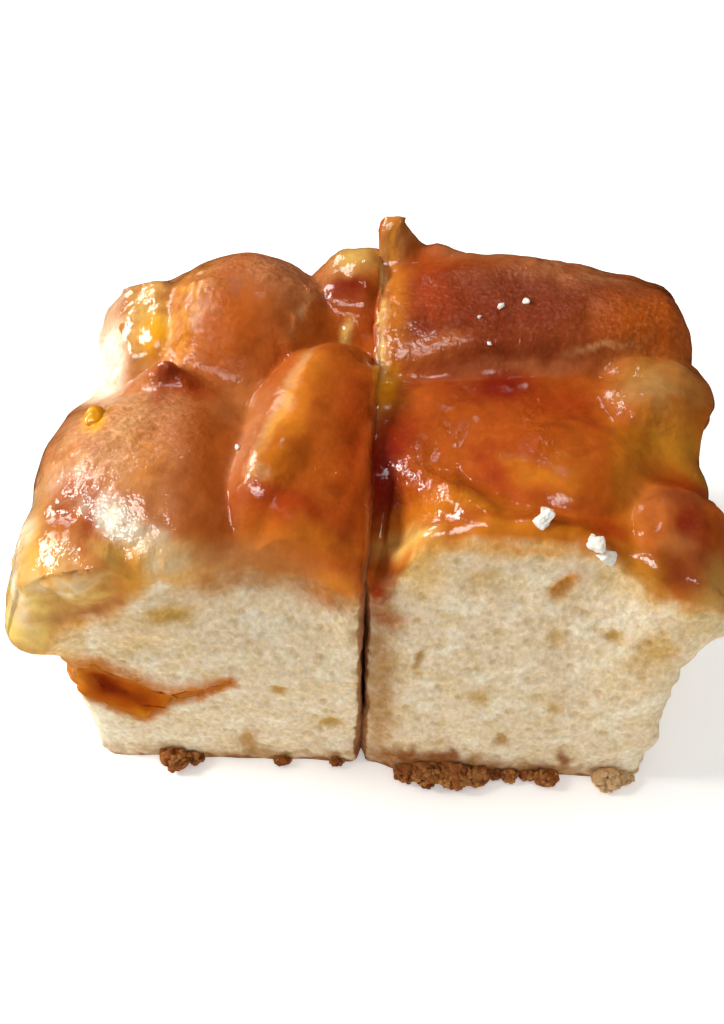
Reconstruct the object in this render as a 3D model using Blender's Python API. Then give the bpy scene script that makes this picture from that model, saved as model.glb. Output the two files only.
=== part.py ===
# Sheet cake with cooked apple and caramel, cut into two slices that still lie side by side.
#
# Each slice is one closed solid of sponge with its browned top: mounds, folds, a lip that hangs over the
# outer side, and ragged crumbs along its foot. Seven chunks of apple lie in pockets in the tops, and a
# pocket of caramel runs through the left slice from its front cut to its back.
# Sizes below are millimetres, turned into metres when a mesh is made. +X is to the right, +Y to the back.

import math
from collections import namedtuple

import bmesh
import bpy
import numpy as np
from mathutils import Matrix, Vector, noise

MM = 0.001

# Whole cake
WIDTH_AT_LIPS = 94.0
FOOT_HALF_WIDTH_LEFT = 40.6
FOOT_HALF_WIDTH_RIGHT = 43.0
BACK_Y = 28.0
FRONT_FOOT_LEFT = -28.2
FRONT_FOOT_RIGHT = -29.6
MIDDLE = (0.15, 2.95)  # from the point between the slices to the middle of the whole cake's box

# Knife cut between the slices
CUT_X = 0.6
CUT_SKEW = 0.02
CUT_LEAN = 0.007
CUT_HALF_GAP_TOP = 0.35
CUT_HALF_GAP_FOOT = 0.6
CUT_TOP_Z = 45.0

# Rounding of the top's edges, in height and in plan
OUTER_ROUND = 5.0
FRONT_ROUND = 2.4
BACK_ROUND = 4.0
CUT_ROUND = 1.0
OUTER_CORNER = 3.2
CUT_CORNER = 1.2

# Fineness of the solids
TOP_STEP = 2.7
ROUND_SHARES = (0.0, 0.12, 0.42, 0.9)
WALL_ROWS = 8
SHARP_DEGREES = 50.0
SETTLING_STEPS = 3  # a wall's place depends on its height, and the top's height on its place
CRUMB_RELIEF = 0.35  # how uneven the torn and cut sponge is, over what length
CRUMB_GRAIN = 5.0
NOISE_APART = (0.0, 31.7, 63.1)

# Small things fused on: where the lines that find their places start, their form, and how far above
# the plane of the foot the crumbs stay
ABOVE_CAKE = 90.0
BEFORE_CAKE = -60.0
PROUD = 0.25
FLATTER = 0.82
LUMP_UNEVEN = 0.5
LUMP_GRAIN = 1.3
GRAIN_DIVISIONS = 1
CRUMB_DIVISIONS = 2
CRUMB_CLEARANCE = 0.3
CRUMB_STAGGER = 0.03

# A slice's two surfaces, in the order of its material slots
CRUST_SLOT = 0
CRUMB_SLOT = 1

# Pieces that lie in the sponge
POCKET_GAP = 0.35
CHUNK_DIVISIONS = 4
CHUNK_UNEVEN = 0.14
CHUNK_GRAIN = 1.6
CHUNK_SQUARE = 3.2
SEED_APART = 3.7

Mound = namedtuple("Mound", "middle half top turn edge")
Chunk = namedtuple("Chunk", "middle half turn tilt roll seed")
Rise = namedtuple("Rise", "size low high")
Bulge = namedtuple("Bulge", "size middle half")

# Left slice's walls: the lip over its outer side, the torn part behind it, and a cut that leans back
LEFT_SPREAD = Rise(1.0, 4.0, 28.0)
LEFT_LIP = Bulge(5.0, 37.6, 4.6)
LEFT_SHOULDER = Rise(2.8, 36.0, 44.0)
LEFT_LIP_END = Rise(1.0, -5.0, 4.0)
LEFT_LIP_FRONT = Bulge(0.28, -27.0, 10.0)
LEFT_TORN = Rise(3.4, 8.0, 20.0)
LEFT_TORN_HEIGHT = Rise(1.0, 24.0, 46.0)
LEFT_SET_BACK = Rise(6.4, 22.0, 56.0)
LEFT_SET_BACK_WIDTH = Bulge(1.0, -11.5, 12.0)
LEFT_LEAN = Rise(1.4, 4.0, 50.0)
LEFT_HANG = Bulge(2.8, 37.5, 5.0)
LEFT_HANG_FROM = Rise(1.0, 35.0, 43.0)
LEFT_BACK_LEAN = Rise(1.2, 8.0, 46.0)
LEFT_BACK_CORNER = Rise(3.0, 33.0, 43.0)

# Right slice's walls: a slighter lip, fuller at the front corner and where the apple wedge pushes out
RIGHT_LIP = Rise(1.6, 24.0, 46.0)
RIGHT_CORNER = Bulge(2.6, 42.0, 6.0)
RIGHT_CORNER_DEPTH = Bulge(1.0, -27.0, 7.0)
RIGHT_WEDGE = Bulge(2.0, 49.0, 6.0)
RIGHT_WEDGE_DEPTH = Bulge(1.0, 5.5, 5.0)
RIGHT_BACK_IN = Rise(0.8, 14.0, 26.0)
RIGHT_SET_BACK = Rise(8.0, 4.0, 60.0)
RIGHT_SET_BACK_LESS = Rise(0.55, 28.0, 42.0)
RIGHT_CUT_IN = Bulge(1.4, 1.0, 3.0)
RIGHT_BACK_LEAN = Rise(1.0, 8.0, 46.0)
RIGHT_BACK_CORNER = Rise(1.4, 34.0, 45.0)

# Slow waves along both outer walls
WAVE = Rise(0.5, 20.0, 40.0)
WAVE_LENGTH = 11.5

# The mounds of each top: middle, half lengths, height, turn in degrees, squareness of the shoulder
LEFT_FLOOR = 48.5
LEFT_MOUNDS = (
    Mound((-17.6, 15.8), (12.8, 12.0), 59.0, 0, 3.0),
    Mound((-27.6, -10.5), (14.4, 13.5), 57.0, 0, 3.4),
    Mound((-27.4, 3.2), (7.2, 3.6), 56.9, -12, 1.3),
    Mound((-5.0, -10.0), (7.0, 15.5), 54.6, -12, 4.0),
    Mound((-34.0, 19.0), (5.0, 6.0), 50.0, 0, 2.0),
    Mound((-3.5, 20.0), (7.0, 11.0), 53.4, 0, 3.0),
)
RIGHT_FLOOR = 49.5
RIGHT_MOUNDS = (
    Mound((21.5, 17.3), (27.5, 12.2), 57.0, 4, 5.0),
    Mound((3.0, 27.6), (6.4, 6.0), 62.6, 0, 1.2),
    Mound((9.0, 25.5), (7.0, 4.5), 57.4, -12, 2.0),
    Mound((18.0, -9.0), (23.0, 17.0), 53.0, 0, 4.0),
    Mound((12.5, -17.0), (9.0, 4.0), 55.8, -38, 2.4),
    Mound((18.0, -20.5), (14.0, 4.5), 55.2, 0, 3.0),
)

# How softly two mounds meet
FOLD = 0.9

# Folds and hollows: middle, half lengths, depth as a negative height, turn, edge
LEFT_HOLLOWS = (
    Mound((-37.5, 10.0), (8.0, 9.0), -5.0, 8, 3.0),
    Mound((-36.0, 27.0), (10.0, 6.0), -2.4, 0, 2.4),
    Mound((-7.6, 27.0), (4.0, 5.0), -2.5, 0, 2.0),
    Mound((0.0, -28.0), (4.6, 4.6), -5.5, 0, 2.0),
)
RIGHT_HOLLOWS = (
    Mound((2.2, -17.0), (3.4, 5.5), -6.5, 0, 2.4),
    Mound((0.6, -25.5), (3.0, 6.0), -7.0, 0, 2.0),
    Mound((20.0, 6.6), (20.0, 1.6), -1.4, 4, 3.0),
    Mound((41.0, -9.0), (6.0, 8.0), -2.0, 0, 2.4),
    Mound((37.0, 27.0), (14.0, 7.5), -3.0, -8, 2.4),
)

# Chunks of apple: middle in three directions, half sizes, turn, tilt and roll in degrees, seed
LEFT_CHUNKS = {
    "apple_ridge_left": Chunk((-7.6, -5.5, 51.6), (6.6, 14.0, 5.4), -17, 0, 14, 1),
    "apple_back_left": Chunk((-30.6, 15.4, 49.8), (4.4, 5.8, 4.4), 12, 6, -16, 2),
    "apple_front_left": Chunk((-35.6, -21.0, 48.6), (5.6, 6.6, 5.0), 8, 6, -14, 3),
    "apple_back_middle": Chunk((-2.0, 20.6, 52.0), (4.4, 5.6, 4.8), -14, 4, -14, 4),
}
RIGHT_CHUNKS = {
    "apple_side_right": Chunk((38.4, 4.0, 49.2), (7.0, 6.2, 5.0), 6, -6, 10, 5),
    "apple_centre_right": Chunk((23.4, -8.4, 50.4), (9.8, 7.6, 4.6), -14, -6, 0, 6),
    "apple_corner_right": Chunk((38.8, -17.8, 48.4), (5.6, 6.4, 5.4), -20, 8, 10, 7),
}

# Caramel pocket: the middle line of its section on the front cut, half its thickness, and its run
CARAMEL_X = (-43.5, -37.0, -32.0, -27.8, -23.0, -18.8)
CARAMEL_Z = (25.6, 22.4, 18.2, 18.9, 21.4, 24.2)
CARAMEL_HALF = (1.0, 5.4, 5.2, 1.2, 0.9, 0.4)
CARAMEL_SAMPLES = 11
CARAMEL_STATIONS = 7
CARAMEL_PAST_WALL = 3.0
CARAMEL_THINS = Rise(0.55, 0.05, 0.9)
CARAMEL_MOVES_IN = Rise(10.0, 0.0, 0.5)
CARAMEL_ARCH = 2.5

# Pearl sugar: place on the top and half length
SUGAR_LEFT = ((-36.0, -3.0, 1.2), (-16.5, -9.0, 0.7))
SUGAR_RIGHT = (
    (21.7, -19.0, 1.3), (28.8, -21.8, 1.5), (17.3, 13.8, 0.7), (21.0, 14.8, 0.8),
    (15.8, 8.4, 0.7), (17.6, 3.9, 0.6), (14.4, 11.9, 0.5), (26.8, -22.6, 0.6),
)

# Crumbs of the browned foot: place on the front wall's foot, half length
CRUMBS_LEFT = ((-28.6, 1.9, 2.6), (-26.0, 1.2, 1.5), (-12.4, 0.9, 1.3), (-4.0, 0.9, 1.1))
CRUMBS_RIGHT = (
    (6.6, 1.4, 2.0), (9.8, 1.9, 2.7), (14.0, 2.2, 3.1), (17.4, 1.6, 2.3),
    (22.4, 1.1, 1.4), (28.0, 1.3, 2.2), (37.4, 1.5, 2.5), (40.0, 1.1, 1.4),
)


def clear_scene():
    for old in list(bpy.data.objects):
        bpy.data.objects.remove(old, do_unlink=True)


def material(name, colour, roughness, metallic=0.0):
    made = bpy.data.materials.new(name)
    made.use_nodes = True
    shader = made.node_tree.nodes["Principled BSDF"]
    shader.inputs["Base Color"].default_value = (*colour, 1.0)
    shader.inputs["Roughness"].default_value = roughness
    shader.inputs["Metallic"].default_value = metallic
    return made


def ramp(value, low, high):
    """0 below low, 1 above high, with a soft start and end."""
    part = np.clip((value - low) / (high - low), 0.0, 1.0)
    return part * part * (3.0 - 2.0 * part)


def swell(x, y, mound):
    """1 at the middle of a mound, 0 well outside it."""
    turn = math.radians(mound.turn)
    dx = x - mound.middle[0]
    dy = y - mound.middle[1]
    u = (dx * math.cos(turn) + dy * math.sin(turn)) / mound.half[0]
    v = (dy * math.cos(turn) - dx * math.sin(turn)) / mound.half[1]
    return np.exp(-((u * u + v * v) ** (mound.edge / 2)))


def skin_over(floor, mounds, hollows, x, y):
    """Height of the browned skin that lies over the mounds, with a soft fold where two meet."""
    heights = [np.full_like(x, floor)]
    for mound in mounds:
        heights.append(floor + (mound.top - floor) * swell(x, y, mound))
    stack = np.stack(heights)
    highest = stack.max(axis=0)
    top = highest + FOLD * np.log(np.exp((stack - highest) / FOLD).sum(axis=0))
    for hollow in hollows:
        top = top + hollow.top * swell(x, y, hollow)
    return top


def cut_x(y, z):
    return CUT_X + CUT_SKEW * y + CUT_LEAN * (z - CUT_TOP_Z)


def cut_half_gap(z):
    return CUT_HALF_GAP_TOP + (CUT_HALF_GAP_FOOT - CUT_HALF_GAP_TOP) * np.clip(1.0 - z / CUT_TOP_Z, 0.0, 1.0)


def rise(value, by):
    """Grows from nothing at a low place to its full size at a high one."""
    return by.size * ramp(value, by.low, by.high)


def bulge(value, by):
    """Full size at its middle, nothing well away from it."""
    return by.size * np.exp(-(((value - by.middle) / by.half) ** 2))


def wave_along(y, z):
    return rise(z, WAVE) * np.sin(2.0 * math.pi * y / WAVE_LENGTH)


class LeftSlice:
    name = "slice_left"
    floor, mounds, hollows = LEFT_FLOOR, LEFT_MOUNDS, LEFT_HOLLOWS

    def cut(self, y, z):
        return cut_x(y, z) - cut_half_gap(z)

    def outer(self, y, z):
        lip = bulge(z, LEFT_LIP) + rise(z, LEFT_SHOULDER)
        lip = lip * (1.0 - rise(y, LEFT_LIP_END)) * (1.0 - LEFT_LIP_FRONT.size + bulge(y, LEFT_LIP_FRONT))
        torn = rise(y, LEFT_TORN) * rise(z, LEFT_TORN_HEIGHT)
        return -(FOOT_HALF_WIDTH_LEFT + rise(z, LEFT_SPREAD) + lip - torn + wave_along(y, z))

    def front(self, x, z):
        set_back = rise(z, LEFT_SET_BACK) * bulge(x, LEFT_SET_BACK_WIDTH) + rise(z, LEFT_LEAN)
        return FRONT_FOOT_LEFT + set_back - rise(-x, LEFT_HANG_FROM) * bulge(z, LEFT_HANG)

    def back(self, x, z):
        return BACK_Y - LEFT_BACK_LEAN.size + rise(z, LEFT_BACK_LEAN) - rise(-x, LEFT_BACK_CORNER)


class RightSlice:
    name = "slice_right"
    floor, mounds, hollows = RIGHT_FLOOR, RIGHT_MOUNDS, RIGHT_HOLLOWS

    def cut(self, y, z):
        return cut_x(y, z) + cut_half_gap(z)

    def outer(self, y, z):
        corner = bulge(y, RIGHT_CORNER_DEPTH) * bulge(z, RIGHT_CORNER)
        wedge = bulge(y, RIGHT_WEDGE_DEPTH) * bulge(z, RIGHT_WEDGE)
        lip = rise(z, RIGHT_LIP) + corner + wedge
        return FOOT_HALF_WIDTH_RIGHT + lip - rise(y, RIGHT_BACK_IN) + wave_along(y, z)

    def front(self, x, z):
        set_back = rise(z, RIGHT_SET_BACK) * (1.0 - rise(x, RIGHT_SET_BACK_LESS))
        return FRONT_FOOT_RIGHT + set_back + bulge(x, RIGHT_CUT_IN)

    def back(self, x, z):
        return BACK_Y - RIGHT_BACK_LEAN.size + rise(z, RIGHT_BACK_LEAN) - rise(x, RIGHT_BACK_CORNER)


def lines(length, step, first_round, last_round):
    """Places along an edge, 0 to 1, closer together where the top rounds over at both ends."""
    near = [share * first_round for share in ROUND_SHARES]
    far = [length - share * last_round for share in reversed(ROUND_SHARES)]
    between = max(1, round((far[0] - near[-1]) / step))
    middle = [near[-1] + (far[0] - near[-1]) * number / between for number in range(1, between)]
    return np.array(near + middle + far) / length


def round_corner(u, v, width, depth):
    """Turns the square corners of the plan into round ones: the cut's small, the outer ones larger."""
    x, y = u * width, v * depth
    corners = [(0, end, CUT_CORNER) for end in (0, 1)] + [(1, end, OUTER_CORNER) for end in (0, 1)]
    for at_x, at_y, radius in corners:
        dx = radius - (width - x if at_x else x)
        dy = radius - (depth - y if at_y else y)
        if dx > 0.0 and dy > 0.0:
            share = max(dx, dy) / math.hypot(dx, dy)
            x = width - radius + dx * share if at_x else radius - dx * share
            y = depth - radius + dy * share if at_y else radius - dy * share
    return x / width, y / depth


def edge_drop(u, v, width, depth):
    """How far the top has rounded down at a place, from its distance to each edge."""
    drop = 0.0
    for distance, radius in (
        (u * width, CUT_ROUND),
        ((1.0 - u) * width, OUTER_ROUND),
        (v * depth, FRONT_ROUND),
        ((1.0 - v) * depth, BACK_ROUND),
    ):
        inside = max(0.0, 1.0 - distance / radius)
        drop = max(drop, radius * (1.0 - math.sqrt(max(0.0, 1.0 - inside * inside))))
    return drop


def place_in_slice(cake, u, v, share):
    """The point at share of the height, 0 at the foot and 1 on the top skin."""
    width, depth = WIDTH_AT_LIPS / 2, BACK_Y - FRONT_FOOT_LEFT
    u_round, v_round = round_corner(u, v, width, depth)
    z = np.array(cake.floor)
    for _ in range(SETTLING_STEPS):
        y_middle = FRONT_FOOT_LEFT + depth * v_round
        x = cake.cut(y_middle, z) + (cake.outer(y_middle, z) - cake.cut(y_middle, z)) * u_round
        y = cake.front(x, z) + (cake.back(x, z) - cake.front(x, z)) * v_round
        top = skin_over(cake.floor, cake.mounds, cake.hollows, np.array(x), np.array(y))
        z = share * (top - edge_drop(u, v, width, depth))
    return float(x), float(y), float(z)


def crumbled(point, share):
    """Moves a point of a wall a little, so that the torn sponge is uneven; the foot's rim stays flat."""
    seed = Vector(point) / CRUMB_GRAIN
    shift = [CRUMB_RELIEF * noise.noise(seed + Vector((0.0, 0.0, apart))) for apart in NOISE_APART]
    lift = min(1.0, share * WALL_ROWS / 2)
    return point[0] + shift[0], point[1] + shift[1], point[2] + shift[2] * lift


def slice_mesh(cake):
    """One slice: a grid over its top, rows of points down its four walls, and a flat foot."""
    across = lines(WIDTH_AT_LIPS / 2, TOP_STEP, 2 * CUT_ROUND, OUTER_ROUND)
    along = lines(BACK_Y - FRONT_FOOT_LEFT, TOP_STEP, FRONT_ROUND, BACK_ROUND)
    last_u, last_v = len(across) - 1, len(along) - 1
    rim = [(i, 0) for i in range(last_u)] + [(last_u, j) for j in range(last_v)]
    rim += [(i, last_v) for i in range(last_u, 0, -1)] + [(0, j) for j in range(last_v, 0, -1)]
    built = bmesh.new()
    top = {}
    for i, u in enumerate(across):
        for j, v in enumerate(along):
            top[i, j] = built.verts.new(crumbled(place_in_slice(cake, u, v, 1.0), 1.0))
    faces_top = []
    for i in range(last_u):
        for j in range(last_v):
            corners = (top[i, j], top[i + 1, j], top[i + 1, j + 1], top[i, j + 1])
            faces_top.append(built.faces.new(corners))
    upper = [top[place] for place in rim]
    for row in range(WALL_ROWS - 1, -1, -1):
        share = row / WALL_ROWS
        lower = []
        for i, j in rim:
            lower.append(built.verts.new(crumbled(place_in_slice(cake, across[i], along[j], share), share)))
        for number in range(len(rim)):
            after = (number + 1) % len(rim)
            built.faces.new((upper[number], lower[number], lower[after], upper[after]))
        upper = lower
    built.faces.new(upper)
    for face in built.faces:
        face.material_index = CRUMB_SLOT
    for face in faces_top:
        face.material_index = CRUST_SLOT
    bmesh.ops.recalc_face_normals(built, faces=built.faces)
    return built


def chunk_mesh(chunk, grown=0.0):
    """A cooked apple chunk: a rounded block with soft uneven sides, grown on all sides for its pocket."""
    built = bmesh.new()
    bmesh.ops.create_cube(built, size=2.0)
    bmesh.ops.subdivide_edges(built, edges=built.edges, cuts=CHUNK_DIVISIONS - 1, use_grid_fill=True)
    turning = Matrix.Rotation(math.radians(chunk.turn), 3, "Z")
    turning = turning @ Matrix.Rotation(math.radians(chunk.tilt), 3, "X")
    turning = turning @ Matrix.Rotation(math.radians(chunk.roll), 3, "Y")
    eighth = 0.25 * math.pi
    for vert in built.verts:
        spread = [math.sin(eighth * value) / math.sin(eighth) for value in vert.co]
        length = sum(abs(value) ** CHUNK_SQUARE for value in spread) ** (1.0 / CHUNK_SQUARE)
        way = Vector(spread) / length
        apart = Vector((chunk.seed * SEED_APART, 0.0, 0.0))
        uneven = 1.0 + CHUNK_UNEVEN * noise.noise(way * CHUNK_GRAIN + apart)
        local = Vector([way[axis] * chunk.half[axis] * uneven for axis in range(3)])
        vert.co = turning @ local + Vector(chunk.middle)
    if grown:
        built.normal_update()
        moves = [vert.normal * grown * vert.calc_shell_factor() for vert in built.verts]
        for vert, move in zip(built.verts, moves):
            vert.co += move
    return built


def keep_beside_cut(built, cake, sign):
    """Presses a chunk's side flat where the knife went through it."""
    for vert in built.verts:
        limit = float(cake.cut(vert.co.y, vert.co.z))
        if (vert.co.x - limit) * sign < 0.0:
            vert.co.x = limit


def row_value(row, share):
    """The value at a share of the way along a row of values."""
    return float(np.interp(share * (len(row) - 1), range(len(row)), row))


def caramel_mesh(cake, grown=0.0):
    """The caramel pocket: a curved section that runs back through the sponge, thinner and further in."""
    built = bmesh.new()
    rings = []
    back_end = BACK_Y + CARAMEL_PAST_WALL
    front_end = FRONT_FOOT_LEFT - CARAMEL_PAST_WALL
    for station in range(CARAMEL_STATIONS):
        depth = station / (CARAMEL_STATIONS - 1)
        y = front_end + (back_end - front_end) * depth
        scale = 1.0 - float(rise(depth, CARAMEL_THINS))
        upper, lower = [], []
        middle_x = CARAMEL_X[2]
        for sample in range(CARAMEL_SAMPLES):
            share = sample / (CARAMEL_SAMPLES - 1)
            x, z, half = (row_value(row, share) for row in (CARAMEL_X, CARAMEL_Z, CARAMEL_HALF))
            half = half * scale + grown
            x = middle_x + (x - middle_x) * scale + float(rise(depth, CARAMEL_MOVES_IN))
            z = z + CARAMEL_ARCH * math.sin(math.pi * depth)
            upper.append(built.verts.new((x, y, z + half)))
            lower.append(built.verts.new((x, y, z - half)))
        rings.append(upper + lower[::-1])
    for first, second in zip(rings, rings[1:]):
        for number in range(len(first)):
            after = (number + 1) % len(first)
            built.faces.new((first[number], first[after], second[after], second[number]))
    built.faces.new(rings[0])
    built.faces.new(rings[-1])
    bmesh.ops.recalc_face_normals(built, faces=built.faces)
    return built


def lump(middle, half, seed, divisions, lowest=None):
    """A small uneven grain: sugar or a crumb."""
    built = bmesh.new()
    bmesh.ops.create_icosphere(built, subdivisions=divisions, radius=1.0)
    apart = Vector((seed, -seed, 0.0)) * SEED_APART
    for vert in built.verts:
        uneven = 1.0 + LUMP_UNEVEN * noise.noise(vert.co * LUMP_GRAIN + apart)
        vert.co = Vector(middle) + Vector([vert.co[axis] * half[axis] * uneven for axis in range(3)])
        if lowest is not None:
            vert.co.z = max(vert.co.z, lowest)
    return built


def finish_object(name, built, materials, smooth=True):
    """Turns millimetres into metres, moves the cake's middle to the origin, and makes the object."""
    bmesh.ops.triangulate(built, faces=built.faces)
    for vert in built.verts:
        vert.co = Vector((vert.co.x + MIDDLE[0], vert.co.y + MIDDLE[1], vert.co.z)) * MM
    mesh = bpy.data.meshes.new(name)
    built.to_mesh(mesh)
    built.free()
    for surface in materials:
        mesh.materials.append(surface)
    if smooth:
        mesh.shade_smooth()
        mesh.set_sharp_from_angle(angle=math.radians(SHARP_DEGREES))
    made = bpy.data.objects.new(name, mesh)
    bpy.context.scene.collection.objects.link(made)
    return made


def as_cutter(made):
    made.hide_render = True
    made.display_type = "WIRE"
    return made


def apply_boolean(made, operation, other=None, group=None):
    """One exact Boolean, applied; what it used is then removed."""
    step = made.modifiers.new(operation.lower(), "BOOLEAN")
    step.operation = operation
    step.solver = "EXACT"
    if group:
        step.operand_type = "COLLECTION"
        step.collection = group
    else:
        step.object = other
    graph = bpy.context.evaluated_depsgraph_get()
    mesh = bpy.data.meshes.new_from_object(made.evaluated_get(graph))
    made.modifiers.clear()
    made.data = mesh
    used = list(group.objects) if group else [other]
    for thing in used:
        bpy.data.objects.remove(thing, do_unlink=True)
    if group:
        bpy.data.collections.remove(group)


def group_of(name, pieces):
    group = bpy.data.collections.new(name)
    bpy.context.scene.collection.children.link(group)
    for piece in pieces:
        bpy.context.scene.collection.objects.unlink(piece)
        group.objects.link(piece)
    return group


def touch(made, start, way):
    """Where a straight line from start, in the cake's own millimetres, first meets an object."""
    origin = Vector((start[0] + MIDDLE[0], start[1] + MIDDLE[1], start[2])) * MM
    found, place, _, _ = made.ray_cast(origin, Vector(way))
    if not found:
        raise ValueError("a grain or crumb lies beside the slice")
    return Vector((place.x / MM - MIDDLE[0], place.y / MM - MIDDLE[1], place.z / MM))


def small_things(cake, sponge, sugar, crumbs, surface):
    """Sugar grains on the top and crumbs along the front foot, to be fused to the slice."""
    pieces = []
    for number, (x, y, half) in enumerate(sugar):
        place = touch(sponge, (x, y, ABOVE_CAKE), (0, 0, -1)) + Vector((0, 0, PROUD * half))
        grain = lump(place, (half, FLATTER * half, FLATTER * half), number, GRAIN_DIVISIONS)
        pieces.append(finish_object(f"grain_{number}", grain, [surface], smooth=False))
    for number, (x, z, half) in enumerate(crumbs):
        place = touch(sponge, (x, BEFORE_CAKE, z), (0, 1, 0)) - Vector((0, PROUD * half, 0))
        lowest = CRUMB_CLEARANCE + CRUMB_STAGGER * number
        crumb = lump(place, (half, half, FLATTER * half), -number, CRUMB_DIVISIONS, lowest)
        pieces.append(finish_object(f"crumb_{number}", crumb, [surface], smooth=False))
    return group_of(f"{cake.name}_small_things", pieces)


def build_cake():
    crust = material("caramel_glazed_crust", (0.52, 0.17, 0.025), 0.22)
    crumb = material("sponge_crumb", (0.78, 0.62, 0.34), 0.85)
    apple = material("cooked_apple", (0.62, 0.27, 0.05), 0.25)
    caramel = material("caramel", (0.46, 0.13, 0.015), 0.18)

    for cake, chunks, sugar, crumbs, sign in (
        (LeftSlice(), LEFT_CHUNKS, SUGAR_LEFT, CRUMBS_LEFT, -1.0),
        (RightSlice(), RIGHT_CHUNKS, SUGAR_RIGHT, CRUMBS_RIGHT, 1.0),
    ):
        sponge = finish_object(cake.name, slice_mesh(cake), [crust, crumb])
        apply_boolean(sponge, "UNION", group=small_things(cake, sponge, sugar, crumbs, crumb))
        if sign < 0.0:
            pocket = finish_object("caramel_pocket", caramel_mesh(cake), [caramel])
            whole = as_cutter(finish_object("whole_slice", slice_mesh(cake), [crumb]))
            apply_boolean(pocket, "INTERSECT", other=whole)
            room = as_cutter(finish_object("caramel_room", caramel_mesh(cake, POCKET_GAP), [crumb]))
            apply_boolean(sponge, "DIFFERENCE", other=room)
        for name, chunk in chunks.items():
            built = chunk_mesh(chunk)
            keep_beside_cut(built, cake, sign)
            finish_object(name, built, [apple])
            room = as_cutter(finish_object(f"{name}_room", chunk_mesh(chunk, POCKET_GAP), [crumb]))
            apply_boolean(sponge, "DIFFERENCE", other=room)


clear_scene()
build_cake()
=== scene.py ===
# Sheet cake with cooked apple and caramel, cut into two slices that lie side by side: its finished surfaces,
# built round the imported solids. Lengths are millimetres until a mesh is made; +X right, +Y back, +Z up.
import math
import random
from collections import namedtuple

import bmesh
import bpy
import numpy as np
from mathutils import Matrix, Vector, kdtree, noise
from mathutils.bvhtree import BVHTree


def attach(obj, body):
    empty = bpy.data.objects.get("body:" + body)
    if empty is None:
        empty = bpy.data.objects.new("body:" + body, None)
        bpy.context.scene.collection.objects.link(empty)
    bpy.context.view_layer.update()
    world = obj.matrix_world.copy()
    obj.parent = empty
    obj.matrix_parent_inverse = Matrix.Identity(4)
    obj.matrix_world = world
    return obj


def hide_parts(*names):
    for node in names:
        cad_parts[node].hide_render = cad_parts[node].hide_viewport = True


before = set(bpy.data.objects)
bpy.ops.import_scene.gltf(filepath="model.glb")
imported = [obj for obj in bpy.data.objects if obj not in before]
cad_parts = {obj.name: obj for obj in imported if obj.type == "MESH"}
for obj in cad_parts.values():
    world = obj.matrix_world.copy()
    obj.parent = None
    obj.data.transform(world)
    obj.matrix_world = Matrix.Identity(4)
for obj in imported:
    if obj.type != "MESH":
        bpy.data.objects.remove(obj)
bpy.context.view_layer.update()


# The two slices.
# Pale sponge under a browned skin that lies over mounds of batter and apple and is glazed with caramel.
# Each was baked in one sheet and cut with a knife; the form repeats the solids' own sizes.
MM = 0.001
WIDTH_AT_LIPS = 94.0
FOOT_HALF_WIDTH_LEFT = 40.6
FOOT_HALF_WIDTH_RIGHT = 43.0
BACK_Y = 28.0
FRONT_FOOT_LEFT = -28.2
FRONT_FOOT_RIGHT = -29.6
MIDDLE = (0.15, 2.95)  # from the point between the slices to the middle of the whole cake's box

CUT_X = 0.6
CUT_SKEW = 0.02
CUT_LEAN = 0.007
CUT_HALF_GAP_TOP = 0.35
CUT_HALF_GAP_FOOT = 0.6
CUT_TOP_Z = 45.0

OUTER_ROUND = 5.0
FRONT_ROUND = 2.4
BACK_ROUND = 4.0
CUT_ROUND = 1.0
OUTER_CORNER = 3.2
CUT_CORNER = 1.2
SETTLING_STEPS = 3
CRUMB_RELIEF = 0.35
CRUMB_GRAIN = 5.0
FOOT_STEADY = 4.0  # the relief's up and down part is whole from a fourth of the height up
NOISE_APART = (0.0, 31.7, 63.1)

# A mound by its middle, half lengths, height, turn in degrees and how squarely it ends; a size that grows
# from a low place to a high one; and a size that is full at a middle and fades out to both sides
Mound = namedtuple("Mound", "middle half top turn edge", defaults=(1.0, 0, 3.0))
Rise = namedtuple("Rise", "size low high")
Bulge = namedtuple("Bulge", "size middle half")

# The left slice's walls: how they spread, lip over, are torn back, lean and hang, by height, depth or width
LEFT_SPREAD = Rise(1.0, 4.0, 28.0)
LEFT_LIP = Bulge(5.0, 37.6, 4.6)
LEFT_SHOULDER = Rise(2.8, 36.0, 44.0)
LEFT_LIP_END = Rise(1.0, -5.0, 4.0)
LEFT_LIP_FRONT = Bulge(0.28, -27.0, 10.0)
LEFT_TORN = Rise(3.4, 8.0, 20.0)
LEFT_TORN_HEIGHT = Rise(1.0, 24.0, 46.0)
LEFT_SET_BACK = Rise(6.4, 22.0, 56.0)
LEFT_SET_BACK_WIDTH = Bulge(1.0, -11.5, 12.0)
LEFT_LEAN = Rise(1.4, 4.0, 50.0)
LEFT_HANG = Bulge(2.8, 37.5, 5.0)
LEFT_HANG_FROM = Rise(1.0, 35.0, 43.0)
LEFT_BACK_LEAN = Rise(1.2, 8.0, 46.0)
LEFT_BACK_CORNER = Rise(3.0, 33.0, 43.0)

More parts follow.
